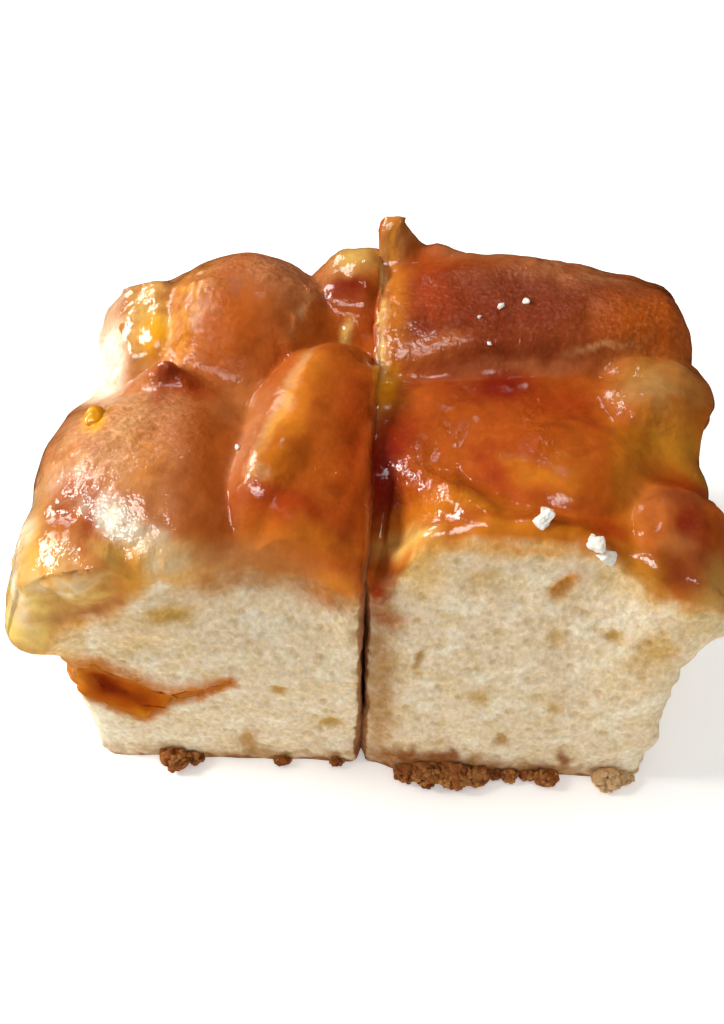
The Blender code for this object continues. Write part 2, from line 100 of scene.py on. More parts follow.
# The right slice's walls, in the same way
RIGHT_LIP = Rise(1.6, 24.0, 46.0)
RIGHT_CORNER = Bulge(2.6, 42.0, 6.0)
RIGHT_CORNER_DEPTH = Bulge(1.0, -27.0, 7.0)
RIGHT_WEDGE = Bulge(2.0, 49.0, 6.0)
RIGHT_WEDGE_DEPTH = Bulge(1.0, 5.5, 5.0)
RIGHT_BACK_IN = Rise(0.8, 14.0, 26.0)
RIGHT_SET_BACK = Rise(8.0, 4.0, 60.0)
RIGHT_SET_BACK_LESS = Rise(0.55, 28.0, 42.0)
RIGHT_CUT_IN = Bulge(1.4, 1.0, 3.0)
RIGHT_BACK_LEAN = Rise(1.0, 8.0, 46.0)
RIGHT_BACK_CORNER = Rise(1.4, 34.0, 45.0)

WAVE = Rise(0.5, 20.0, 40.0)
WAVE_LENGTH = 11.5

# How high the skin lies between the mounds, the mounds that it lies over, and the hollows in it
LEFT_FLOOR = 48.5
LEFT_MOUNDS = (
    Mound((-17.6, 15.8), (12.8, 12.0), 59.0), Mound((-27.6, -10.5), (14.4, 13.5), 57.0, 0, 3.4),
    Mound((-27.4, 3.2), (7.2, 3.6), 56.9, -12, 1.3), Mound((-5.0, -10.0), (7.0, 15.5), 54.6, -12, 4.0),
    Mound((-34.0, 19.0), (5.0, 6.0), 50.0, 0, 2.0), Mound((-3.5, 20.0), (7.0, 11.0), 53.4),
)
RIGHT_FLOOR = 49.5
RIGHT_MOUNDS = (
    Mound((21.5, 17.3), (27.5, 12.2), 57.0, 4, 5.0), Mound((3.0, 27.6), (6.4, 6.0), 62.6, 0, 1.2),
    Mound((9.0, 25.5), (7.0, 4.5), 57.4, -12, 2.0), Mound((18.0, -9.0), (23.0, 17.0), 53.0, 0, 4.0),
    Mound((12.5, -17.0), (9.0, 4.0), 55.8, -38, 2.4), Mound((18.0, -20.5), (14.0, 4.5), 55.2),
)
FOLD = 0.9
LEFT_HOLLOWS = (
    Mound((-37.5, 10.0), (8.0, 9.0), -5.0, 8), Mound((-36.0, 27.0), (10.0, 6.0), -2.4, 0, 2.4),
    Mound((-7.6, 27.0), (4.0, 5.0), -2.5, 0, 2.0), Mound((0.0, -28.0), (4.6, 4.6), -5.5, 0, 2.0),
)
RIGHT_HOLLOWS = (
    Mound((2.2, -17.0), (3.4, 5.5), -6.5, 0, 2.4), Mound((0.6, -25.5), (3.0, 6.0), -7.0, 0, 2.0),
    Mound((20.0, 6.6), (20.0, 1.6), -1.4, 4), Mound((41.0, -9.0), (6.0, 8.0), -2.0, 0, 2.4),
    Mound((37.0, 27.0), (14.0, 7.5), -3.0, -8, 2.4),
)

# How low the glazed skin comes on each wall: places along the wall, and heights there
FRONT_SKIN_EDGE = ((-47, -41, -39.5, -33, -30, -26, -20, -8, -1, 0, 1, 4, 6, 12, 30, 34, 38, 47),
                   (36, 36.5, 41, 42, 45, 50, 46.5, 46, 44, 42, 42, 45, 52, 54.4, 53.6, 49, 48, 45))
LEFT_SKIN_EDGE = ((-30, -6, 0, 6, 20, 30), (36, 37, 41, 50, 48, 46))
RIGHT_SKIN_EDGE = ((-30, -10, 0, 10, 30), (45, 45, 43, 44, 45))
BACK_SKIN_EDGE = ((-47, -20, 0, 20, 47), (45, 49, 47, 50, 46))


def ramp(value, low, high):
    """0 below low, 1 above high, with a soft start and end."""
    part = np.clip((value - low) / (high - low), 0.0, 1.0)
    return part * part * (3.0 - 2.0 * part)


def swell(x, y, mound):
    """1 at the middle of a mound, 0 well outside it."""
    turn = math.radians(mound.turn)
    dx = x - mound.middle[0]
    dy = y - mound.middle[1]
    u = (dx * math.cos(turn) + dy * math.sin(turn)) / mound.half[0]
    v = (dy * math.cos(turn) - dx * math.sin(turn)) / mound.half[1]
    return np.exp(-((u * u + v * v) ** (mound.edge / 2)))


def skin_over(floor, mounds, hollows, x, y):
    """Height of the browned skin that lies over the mounds, with a soft fold where two meet."""
    heights = [np.full_like(x, floor)]
    for mound in mounds:
        heights.append(floor + (mound.top - floor) * swell(x, y, mound))
    stack = np.stack(heights)
    highest = stack.max(axis=0)
    top = highest + FOLD * np.log(np.exp((stack - highest) / FOLD).sum(axis=0))
    for hollow in hollows:
        top = top + hollow.top * swell(x, y, hollow)
    return top


def cut_x(y, z):
    return CUT_X + CUT_SKEW * y + CUT_LEAN * (z - CUT_TOP_Z)


def cut_half_gap(z):
    widening = CUT_HALF_GAP_FOOT - CUT_HALF_GAP_TOP
    return CUT_HALF_GAP_TOP + widening * np.clip(1.0 - z / CUT_TOP_Z, 0.0, 1.0)


def rise(value, by):
    """Grows from nothing at a low place to its full size at a high one."""
    return by.size * ramp(value, by.low, by.high)


def bulge(value, by):
    """Full size at its middle, nothing well away from it."""
    return by.size * np.exp(-(((value - by.middle) / by.half) ** 2))


def wave_along(y, z):
    return rise(z, WAVE) * np.sin(2.0 * math.pi * y / WAVE_LENGTH)


class LeftSlice:
    name = "slice_left"
    side = -1.0
    cut_lift = 0.1
    skin_edge = LEFT_SKIN_EDGE
    floor, mounds, hollows = LEFT_FLOOR, LEFT_MOUNDS, LEFT_HOLLOWS

    def cut(self, y, z):
        return cut_x(y, z) - cut_half_gap(z)

    def outer(self, y, z):
        lip = bulge(z, LEFT_LIP) + rise(z, LEFT_SHOULDER)
        lip = lip * (1.0 - rise(y, LEFT_LIP_END)) * (1.0 - LEFT_LIP_FRONT.size + bulge(y, LEFT_LIP_FRONT))
        torn = rise(y, LEFT_TORN) * rise(z, LEFT_TORN_HEIGHT)
        return -(FOOT_HALF_WIDTH_LEFT + rise(z, LEFT_SPREAD) + lip - torn + wave_along(y, z))

    def front(self, x, z):
        set_back = rise(z, LEFT_SET_BACK) * bulge(x, LEFT_SET_BACK_WIDTH) + rise(z, LEFT_LEAN)
        return FRONT_FOOT_LEFT + set_back - rise(-x, LEFT_HANG_FROM) * bulge(z, LEFT_HANG)

    def back(self, x, z):
        return BACK_Y - LEFT_BACK_LEAN.size + rise(z, LEFT_BACK_LEAN) - rise(-x, LEFT_BACK_CORNER)


class RightSlice:
    name = "slice_right"
    side = 1.0
    cut_lift = 0.8
    skin_edge = RIGHT_SKIN_EDGE
    floor, mounds, hollows = RIGHT_FLOOR, RIGHT_MOUNDS, RIGHT_HOLLOWS

    def cut(self, y, z):
        return cut_x(y, z) + cut_half_gap(z)

    def outer(self, y, z):
        corner = bulge(y, RIGHT_CORNER_DEPTH) * bulge(z, RIGHT_CORNER)
        wedge = bulge(y, RIGHT_WEDGE_DEPTH) * bulge(z, RIGHT_WEDGE)
        lip = rise(z, RIGHT_LIP) + corner + wedge
        return FOOT_HALF_WIDTH_RIGHT + lip - rise(y, RIGHT_BACK_IN) + wave_along(y, z)

    def front(self, x, z):
        set_back = rise(z, RIGHT_SET_BACK) * (1.0 - rise(x, RIGHT_SET_BACK_LESS))
        return FRONT_FOOT_RIGHT + set_back + bulge(x, RIGHT_CUT_IN)

    def back(self, x, z):
        return BACK_Y - RIGHT_BACK_LEAN.size + rise(z, RIGHT_BACK_LEAN) - rise(x, RIGHT_BACK_CORNER)


# Fineness of the finished surface
FINE_STEP = 0.40
FINE_ROUND_SHARES = (0.0, 0.04, 0.14, 0.3, 0.52, 0.8)


def fine_lines(length, first_round, last_round):
    """Places along an edge, 0 to 1, closer together where the top rounds over at both ends."""
    near = [share * first_round for share in FINE_ROUND_SHARES]
    far = [length - share * last_round for share in reversed(FINE_ROUND_SHARES)]
    between = round((far[0] - near[-1]) / FINE_STEP)
    middle = [near[-1] + (far[0] - near[-1]) * number / between for number in range(1, between)]
    return np.array(near + middle + far) / length


def round_corner(u, v, width, depth):
    """Turns the square corners of the plan into round ones: the cut's small, the outer ones larger."""
    x, y = u * width, v * depth
    corners = [(0, end, CUT_CORNER) for end in (0, 1)] + [(1, end, OUTER_CORNER) for end in (0, 1)]
    for at_x, at_y, radius in corners:
        dx = radius - (width - x if at_x else x)
        dy = radius - (depth - y if at_y else y)
        inside = (dx > 0.0) & (dy > 0.0)
        share = np.maximum(dx, dy) / np.maximum(np.hypot(dx, dy), 1e-9)
        x = np.where(inside, width - radius + dx * share if at_x else radius - dx * share, x)
        y = np.where(inside, depth - radius + dy * share if at_y else radius - dy * share, y)
    return x / width, y / depth


def edge_drop(u, v, width, depth):
    """How far the top has rounded down at a place, from its distance to each edge."""
    drop = np.zeros_like(u)
    for distance, radius in (
        (u * width, CUT_ROUND),
        ((1.0 - u) * width, OUTER_ROUND),
        (v * depth, FRONT_ROUND),
        ((1.0 - v) * depth, BACK_ROUND),
    ):
        inside = np.maximum(0.0, 1.0 - distance / radius)
        drop = np.maximum(drop, radius * (1.0 - np.sqrt(np.maximum(0.0, 1.0 - inside * inside))))
    return drop


def noise_at(points, grain, apart):
    """Smooth noise of a given grain at each point, about -1 to 1."""
    shift = Vector((apart, -apart, 0.5 * apart))
    return np.array([noise.noise(Vector(point) / grain + shift) for point in points])


def noises(points, *layers):
    """A sum of smooth noises, each given by its size, its grain and its apart."""
    return sum(size * noise_at(points, grain, apart) for size, grain, apart in layers)


def cells_at(points, grain, apart):
    """Distance to the nearest of some scattered points, in grains: rounded cells, as in foam."""
    shift = Vector((apart, -apart, 0.5 * apart))
    return np.array([noise.voronoi(Vector(point) / grain + shift)[0][0] for point in points])


def crumbled(points, lift):
    """Points moved a little by the crumb's slow relief, as the solids' own points are."""
    shift = np.array([
        [CRUMB_RELIEF * noise.noise(Vector(point) / CRUMB_GRAIN + Vector((0, 0, apart)))
         for apart in NOISE_APART]
        for point in points
    ])
    shift[:, 2] *= lift
    return points + shift


def slice_points(cake, u, v, share):
    """Points at a share of the height, 0 at the foot and 1 on the top skin."""
    width, depth = WIDTH_AT_LIPS / 2, BACK_Y - FRONT_FOOT_LEFT
    u_round, v_round = round_corner(u, v, width, depth)
    z = np.full_like(u, cake.floor)
    for _ in range(SETTLING_STEPS):
        y_middle = FRONT_FOOT_LEFT + depth * v_round
        cut = cake.cut(y_middle, z)
        x = cut + (cake.outer(y_middle, z) - cut) * u_round
        y = cake.front(x, z) + (cake.back(x, z) - cake.front(x, z)) * v_round
        top = skin_over(cake.floor, cake.mounds, cake.hollows, x, y)
        z = share * (top - edge_drop(u, v, width, depth))
    return crumbled(np.stack((x, y, z), axis=1), np.minimum(1.0, FOOT_STEADY * share))


def grid_faces(number):
    """The four-sided faces of a grid of numbered points."""
    a, b, c, d = number[:-1, :-1], number[1:, :-1], number[1:, 1:], number[:-1, 1:]
    return np.stack((a, b, c, d), axis=-1).reshape(-1, 4)


def band_faces(before, after):
    """The four-sided faces between two rings of numbered points."""
    return np.stack((before, after, np.roll(after, -1), np.roll(before, -1)), axis=-1)


# One slice's points, their faces, the rings of the foot and of the top's rim, how many points the top has,
# and where each point lies on the plan, 0 to 1, and at which share of the height
Skin = namedtuple("Skin", "points faces foot rim top_count u v share")


def slice_skin(cake):
    """A grid over the top, rows of points down the four walls, and the ring of the foot."""
    across = fine_lines(WIDTH_AT_LIPS / 2, 2 * CUT_ROUND, OUTER_ROUND)
    along = fine_lines(BACK_Y - FRONT_FOOT_LEFT, FRONT_ROUND, BACK_ROUND)
    last_u, last_v = len(across) - 1, len(along) - 1
    number = np.arange(len(across) * len(along)).reshape(len(across), len(along))
    around = [(i, 0) for i in range(last_u)] + [(last_u, j) for j in range(last_v)]
    around += [(i, last_v) for i in range(last_u, 0, -1)] + [(0, j) for j in range(last_v, 0, -1)]
    grid_u, grid_v = np.meshgrid(across, along, indexing="ij")
    rows = round(cake.floor / FINE_STEP)
    u, v, share = [grid_u.ravel()], [grid_v.ravel()], [np.ones(grid_u.size)]
    for row in range(rows - 1, -1, -1):
        u.append(np.array([across[i] for i, _ in around]))
        v.append(np.array([along[j] for _, j in around]))
        share.append(np.full(len(around), row / rows))
    u, v, share = (np.concatenate(column) for column in (u, v, share))
    rim = np.array([number[place] for place in around])
    faces = [grid_faces(number)]
    upper = rim
    for row in range(rows):
        lower = number.size + row * len(rim) + np.arange(len(rim))
        faces.append(band_faces(upper, lower))
        upper = lower
    faces, foot = np.concatenate(faces), upper
    if cake.side < 0.0:
        faces, foot = faces[:, ::-1], foot[::-1]
    return Skin(slice_points(cake, u, v, share), faces, foot, rim, number.size, u, v, share)


def normals_of(points, faces):
    """The direction that the surface faces at each point."""
    across = points[faces[:, 2]] - points[faces[:, 0]]
    along = points[faces[:, -1]] - points[faces[:, 1]]
    flat = np.cross(across, along)
    total = np.zeros_like(points)
    for corner in range(faces.shape[1]):
        np.add.at(total, faces[:, corner], flat)
    return total / np.maximum(np.linalg.norm(total, axis=1, keepdims=True), 1e-12)


# The chunks of apple, which the skin rises round: their form, as in the solids
CHUNK_UNEVEN = 0.14
CHUNK_GRAIN = 1.6
CHUNK_SQUARE = 3.2
SEED_APART = 3.7
CHUNK_FINE = 44
Chunk = namedtuple("Chunk", "middle half turn tilt roll seed")
LEFT_CHUNKS = {
    "apple_ridge_left": Chunk((-7.6, -5.5, 51.6), (6.6, 14.0, 5.4), -17, 0, 14, 1),
    "apple_back_left": Chunk((-30.6, 15.4, 49.8), (4.4, 5.8, 4.4), 12, 6, -16, 2),
    "apple_front_left": Chunk((-35.6, -21.0, 48.6), (5.6, 6.6, 5.0), 8, 6, -14, 3),
    "apple_back_middle": Chunk((-2.0, 20.6, 52.0), (4.4, 5.6, 4.8), -14, 4, -14, 4),
}
RIGHT_CHUNKS = {
    "apple_side_right": Chunk((38.4, 4.0, 49.2), (7.0, 6.2, 5.0), 6, -6, 10, 5),
    "apple_centre_right": Chunk((23.4, -8.4, 50.4), (9.8, 7.6, 4.6), -14, -6, 0, 6),
    "apple_corner_right": Chunk((38.8, -17.8, 48.4), (5.6, 6.4, 5.4), -20, 8, 10, 7),
}
# The skirts of glaze round a chunk: how far out each reaches and how much lower it then lies; how softly the
# skin joins them, past how many of those softnesses it simply follows the skirt, and a height above it all
SEAM_SKIRT = ((1.0, 1.7), (2.0, 3.2), (3.2, 5.3), (4.6, 7.8))
SEAM_FOLD = 0.5
SEAM_FAR = 30.0
HIGH_ABOVE = 90.0


def points_and_faces(built):
    """The points and faces of a mesh under construction, which is then let go."""
    built.verts.index_update()
    points = np.array([vert.co for vert in built.verts])
    faces = np.array([[vert.index for vert in face.verts] for face in built.faces])
    built.free()
    return points, faces


def chunk_surface(chunk, cake):
    """A cooked apple chunk: a rounded block with soft uneven sides, pressed flat where the knife passed."""
    built = bmesh.new()
    bmesh.ops.create_cube(built, size=2.0)
    bmesh.ops.subdivide_edges(built, edges=built.edges, cuts=CHUNK_FINE - 1, use_grid_fill=True)
    turning = Matrix.Rotation(math.radians(chunk.turn), 3, "Z")
    turning = turning @ Matrix.Rotation(math.radians(chunk.tilt), 3, "X")
    turning = turning @ Matrix.Rotation(math.radians(chunk.roll), 3, "Y")
    eighth = 0.25 * math.pi
    for vert in built.verts:
        spread = [math.sin(eighth * value) / math.sin(eighth) for value in vert.co]
        length = sum(abs(value) ** CHUNK_SQUARE for value in spread) ** (1.0 / CHUNK_SQUARE)
        way = Vector(spread) / length
        apart = Vector((chunk.seed * SEED_APART, 0.0, 0.0))
        uneven = 1.0 + CHUNK_UNEVEN * noise.noise(way * CHUNK_GRAIN + apart)
        local = Vector([way[axis] * chunk.half[axis] * uneven for axis in range(3)])
        vert.co = turning @ local + Vector(chunk.middle)
        limit = float(cake.cut(vert.co.y, vert.co.z))
        if (vert.co.x - limit) * cake.side < 0.0:
            vert.co.x = limit
    return points_and_faces(built)


def skin_below(tree, x, y):
    """The place on a surface that lies straight below a spot high above the cake, or none."""
    return tree.ray_cast(Vector((x, y, HIGH_ABOVE)), Vector((0, 0, -1)))[0]


def glaze_over_chunks(top, surfaces):
    """How far the top skin rises at each of its points, so that glaze fills the seams round the chunks."""
    lifted = top[:, 2].copy()
    for points, faces in surfaces.values():
        facing = normals_of(points, faces)
        for reach, drop in SEAM_SKIRT:
            around = points + reach * facing - np.array((0.0, 0.0, drop))
            tree = BVHTree.FromPolygons(around.tolist(), faces.tolist())
            for number, (x, y, _) in enumerate(top):
                hit = skin_below(tree, x, y)
                if hit is not None:
                    gap = (hit.z - lifted[number]) / SEAM_FOLD
                    lifted[number] += SEAM_FOLD * (gap if gap > SEAM_FAR else math.log1p(math.exp(gap)))
    return lifted - top[:, 2]


# Colours of the bake, red, green and blue from 0 to 255
def srgb(red, green, blue):
    """A colour by its everyday numbers, as the linear values that a material holds."""
    shares = np.array((red, green, blue)) / 255.0
    return np.where(shares <= 0.04045, shares / 12.92, ((shares + 0.055) / 1.055) ** 2.4)


AMBER = srgb(180, 84, 16)
BROWNED = srgb(182, 98, 42)
MAHOGANY = srgb(128, 46, 14)
RUST = srgb(166, 58, 8)
DEEP_RED = srgb(122, 20, 2)
CLARET = srgb(142, 34, 2)
COPPER = srgb(128, 55, 28)
GOLD = srgb(226, 150, 48)
HONEY = srgb(212, 124, 26)
PEACH = srgb(212, 152, 98)
BLUSH = srgb(194, 122, 76)
TAN = srgb(182, 116, 60)
OLIVE = srgb(190, 126, 32)
WEDGE = srgb(178, 120, 48)
MARIGOLD = srgb(244, 166, 8)
# SUNLIT is near-white and is only laid on as painted sunlight and painted highlights
SUNLIT = srgb(252, 244, 222)
STRAW = srgb(234, 186, 98)
BUTTER = srgb(252, 208, 114)
CREAM = srgb(234, 212, 178)
IVORY = srgb(246, 234, 206)
TOAST = srgb(190, 142, 88)
OCHRE = srgb(202, 158, 78)
LEMON = srgb(216, 188, 122)
FOOT_BROWN = srgb(150, 88, 42)
FOOT_DARK = srgb(118, 62, 26)
FOOT_TAN = srgb(176, 120, 66)
SOAKED = srgb(200, 116, 34)
FOOT_PALE = srgb(226, 190, 142)

# What a thicker and a thinner coat of glaze does to the colour under it, and the palest that it leaves
DARKER = np.array((0.72, 0.55, 0.42))
LIGHTER = np.array((1.22, 1.38, 1.5))
PALEST = 0.9

# Mottling by noise: how strong it is at most, its noises, and the noise at which it starts and is full
Mottle = namedtuple("Mottle", "strength noises low high")
PATCHES = Mottle(1.0, ((1.0, 1.5, 6.2), (0.5, 0.7, 16.2)), -0.15, 0.35)
THICK_GLAZE = Mottle(0.5, ((1.0, 4.2, 27.0), (0.5, 1.7, 29.0)), 0.1, 0.6)
THIN_GLAZE = Mottle(0.35, ((1.0, 3.6, 31.0), (0.5, 1.4, 35.0)), 0.15, 0.6)
YELLOW_CRUMB = Mottle(0.3, ((1.0, 4.6, 21.0),), 0.0, 0.5)
PALE_CRUMB = Mottle(0.6, ((1.0, 3.4, 25.0),), 0.05, 0.45)
SOAKED_CRUMB = Mottle(1.0, ((1.0, 2.6, 71.0),), -0.5, 0.2)

# How far the dabs' edges wander across and along, as noises, on the skin and on the crumb
SKIN_DAB_WANDER = (((0.9, 3.6, 3.1), (0.35, 1.1, 13.0)), ((0.9, 3.6, 9.7), (0.35, 1.1, 19.0)))
CRUMB_DAB_WANDER = (((1.1, 3.0, 5.3),), ((1.1, 3.0, 15.1),))

# A dab of colour: its middle and half lengths in the plane that it is laid on, its turn in degrees, its
# colour, how strong it is, and how patchy
Dab = namedtuple("Dab", "middle half turn colour strength patchy", defaults=(1.0, 0.0))

# The top's dabs by x and y, from the broad ones to the small ones that lie over them
LEFT_TOP_DABS = (
    Dab((-17, 17), (14, 12), 0, BROWNED, 0.8), Dab((-14, 8), (8, 6), 0, AMBER, 0.8),
    Dab((-12, 11), (3, 4), -20, BROWNED, 0.6), Dab((-25, 14), (3.4, 10), -8, GOLD, 0.9, 0.7),
    Dab((-20, 12), (4, 9), 0, AMBER, 0.5, 0.4), Dab((-12, 20), (6, 6), 0, BLUSH, 0.8, 0.2),
    Dab((-22, 20), (4, 5), 0, BLUSH, 0.5, 0.6), Dab((-33, -10), (11, 15), 0, PEACH, 0.95, 0.3),
    # The patchy SUNLIT band second on the line below is a painted highlight: the window's glare on the wet
    # glaze
    Dab((-31.4, -19.8), (8.6, 2.0), -35, SUNLIT, 0.95, 0.4), Dab((-25, -9), (3.4, 13), 6, BLUSH, 0.8, 0.3),
    Dab((-27, -13), (3, 6), 0, HONEY, 0.5, 0.8), Dab((-20, -9), (4.4, 13), 0, BROWNED, 0.5),
    Dab((-19.6, -10), (4, 12), 0, AMBER, 0.7), Dab((-21.6, 0.4), (6, 3.4), -12, BROWNED, 0.8),
    Dab((-17, 0), (4, 6), -8, TAN, 0.55), Dab((-15.6, -8), (1.6, 8), -14, BLUSH, 0.8),
    # The peach dab second on the line below, and the gold and peach dabs on the one after, are partly the
    # apple's golden rim and partly painted highlight on the ridge's left edge, which faces the window
    Dab((-9.6, -5), (3, 13), -14, HONEY, 0.7), Dab((-12.0, -6), (1.1, 11), -15, PEACH, 0.9, 0.1),
    Dab((-11.2, -5), (0.7, 10), -15, GOLD, 0.8, 0.3), Dab((-9, 4), (0.8, 4), -26, PEACH, 0.7, 0.2),
    Dab((-5, -5), (2.6, 12), -12, AMBER, 0.9), Dab((-1.6, -8), (2.4, 14), 0, RUST, 0.7),
    Dab((-3, 4), (3, 3.4), 0, AMBER, 0.6), Dab((-10, -17.6), (7, 1.8), -8, RUST, 0.9),
    # The cream dab second on the line below, at the band's right end, is part of the same painted highlight
    Dab((-8, -22), (10, 2), 0, HONEY, 0.5), Dab((-26, -22.4), (3.6, 1.6), -30, CREAM, 0.9, 0.3),
    # The rust dab below and the mahogany one after it, on the peak's right side, are partly the crust's
    # darker red and partly painted shade on the side away from the window
    Dab((-24.4, 1.8), (4.6, 2.2), -16, RUST, 0.9, 0.2),
    Dab((-26.4, 1.6), (1.8, 1.6), -30, MAHOGANY, 0.9, 0.3),
    Dab((-27.6, -1.6), (0.9, 2.6), 8, RUST, 0.7, 0.4), Dab((-31, 24), (4, 5), 0, PEACH, 0.6, 0.3),
    # The cream dab first on the line below is partly the mound's paler crust and partly painted sunlight on
    # the far-left rim, which faces the window
    Dab((-37.8, 21), (3.6, 6.4), -10, CREAM, 0.9, 0.2), Dab((-31, 14), (3.4, 6.4), 0, STRAW, 0.9, 0.3),
    Dab((-29.6, 11), (2, 2.6), 0, MARIGOLD, 0.9), Dab((-35, -5.6), (1.6, 2.2), 0, MARIGOLD, 1.0),
    Dab((-36, -10.6), (2.4, 1), -10, SOAKED, 0.8, 0.3), Dab((-36.6, -21), (3.8, 5.4), 0, BROWNED, 0.9),
    Dab((-37.4, -19), (2, 2.6), 0, AMBER, 0.5), Dab((-33.6, -21), (0.9, 4.8), -8, RUST, 0.8),
    Dab((-36, -16.2), (4, 1.2), -16, AMBER, 0.8), Dab((-44, -20), (4, 8), 0, STRAW, 0.9, 0.2),
    # The patchy SUNLIT dab first on the line below is a painted highlight: glints on the wet glaze of the
    # far-left lip
    Dab((-43.6, -19), (1.8, 6), 0, SUNLIT, 0.8, 0.6), Dab((-41, -25), (3, 3), 0, GOLD, 0.6),
    Dab((-29, -25), (4, 1.8), -20, STRAW, 1.0, 0.2), Dab((-36, -23), (1.6, 1.6), 0, TAN, 0.7, 0.2),
    Dab((-3.4, 17.4), (4.4, 2.8), 0, DEEP_RED, 0.9), Dab((-3, 23.6), (3.6, 3.4), 0, OCHRE, 0.9),
    # The straw dab second on the line below is partly a pale bit and partly painted glints; the two peach
    # streaks after it are painted glints
    Dab((-5, 13), (4, 3), 0, AMBER, 0.8), Dab((-3.6, 12.6), (0.9, 1.6), 0, STRAW, 0.9),
    Dab((-9.2, 13.6), (0.6, 4.6), -20, PEACH, 0.7, 0.6),
    Dab((-13.4, -14.6), (1.6, 1), -20, PEACH, 0.9, 0.3),
)
RIGHT_TOP_DABS = (
    Dab((20, 15), (26, 9), 3, COPPER), Dab((14, 12.6), (11, 5.6), 0, MAHOGANY, 0.9),
    Dab((8, 18), (4, 7), 0, RUST, 0.7), Dab((38, 13), (9, 5), 0, AMBER, 0.8),
    # The two blush dabs on the line below are painted sheen: a pale pink reflection along the back crest
    Dab((27, 22), (9, 3), -6, BLUSH, 0.65, 0.4), Dab((12, 25.6), (6, 2), -12, BLUSH, 0.6, 0.2),
    # The peach dab second on the line below and the patchy straw one after it are partly the pale crust of
    # the cut's rim and partly painted glints
    Dab((2.6, 14), (2.4, 12), 0, HONEY, 0.8, 0.2), Dab((1.2, 13), (0.9, 15), 1, PEACH, 1.0, 0.3),
    Dab((1.1, 12), (0.6, 12), 1, STRAW, 0.9, 0.6), Dab((3.4, 26), (2.4, 3), 0, TAN, 0.9),
    Dab((2.2, 26), (1.2, 3), 0, GOLD, 0.8, 0.3), Dab((2.0, 3.4), (1.8, 3.4), 0, MARIGOLD, 1.0, 0.1),
    # The faint blush dab second on the line below is a painted highlight along the rim of the crease
    Dab((8, 8.6), (5, 1.6), 0, BROWNED, 0.8, 0.3), Dab((18, 6.6), (15, 1), 4, BLUSH, 0.4, 0.2),
    Dab((12, 1), (10, 6), 0, CLARET, 0.5), Dab((12, -1), (5, 3), 20, AMBER, 0.6, 0.3),
    # The deep red dab first on the line below is partly the glaze's own red and partly painted shadow under
    # the crease
    Dab((18, 3.6), (4.4, 2.4), 0, DEEP_RED, 0.95), Dab((6, 1.6), (3, 4), 0, AMBER, 0.7),
    # The claret and deep red dabs on the line below are partly caramel run down to the cut and partly painted
    # shade in the hollow there
    Dab((3.4, -7), (3.8, 6), 0, CLARET, 0.95), Dab((1.8, -11), (2.6, 5.6), 0, DEEP_RED, 1.0),
    Dab((8, -10.4), (3.4, 3), -40, AMBER, 0.8), Dab((26, 1), (6, 3.6), 0, RUST, 0.8),
    Dab((20, -10), (8, 6), 0, RUST, 0.5), Dab((21, -12.4), (5, 1.6), -24, HONEY, 0.7, 0.2),
    Dab((15.6, -11), (1.2, 3.6), 40, RUST, 0.8, 0.2), Dab((28, -3), (5, 1.4), -20, RUST, 0.7, 0.2),
    Dab((25, -11), (3, 3), 0, OLIVE, 0.5, 0.4), Dab((15, -6), (3, 3), 0, AMBER, 0.5),
    Dab((26.6, -8), (5, 5.6), 0, AMBER, 0.6), Dab((33.6, -11), (3, 9), 0, HONEY, 0.8),
    Dab((38.6, 4), (7, 4.8), 0, WEDGE, 1.0, 0.1), Dab((37, 2.4), (4, 2.4), 10, TOAST, 0.6, 0.2),
    # The thin peach line first on the line below is a painted highlight on the crease's edge
    Dab((30.6, 9.0), (4, 0.35), 8, PEACH, 0.9, 0.2), Dab((40.6, 6), (4, 2.6), 0, TAN, 0.5),
    Dab((40, -4), (6, 3.6), 0, OLIVE, 0.9), Dab((43, -8), (3, 2), 0, OLIVE, 0.7),
    Dab((41, -9.8), (5, 1.3), -4, RUST, 0.9), Dab((36, -16), (3, 5), 0, BROWNED, 0.7),
    Dab((39, -14.4), (3.6, 2), 0, COPPER, 0.6), Dab((40.4, -19), (2.8, 4), 0, MAHOGANY, 0.9),
    Dab((39, -18), (1.4, 2), 0, DEEP_RED, 0.7), Dab((38, -21.6), (2.4, 2), 0, TAN, 0.5),
    Dab((12, -17.6), (10, 2.6), -6, HONEY, 0.8), Dab((5.4, -19.6), (4, 1.8), -24, STRAW, 0.95),
    Dab((20, -20.6), (11, 1.0), 0, HONEY, 0.8), Dab((16, -18.8), (12, 0.8), 0, RUST, 0.5, 0.3),
    Dab((14, -21.6), (14, 0.9), 0, HONEY, 0.5, 0.4), Dab((29.6, -18.6), (2, 2), 0, RUST, 0.8),
)
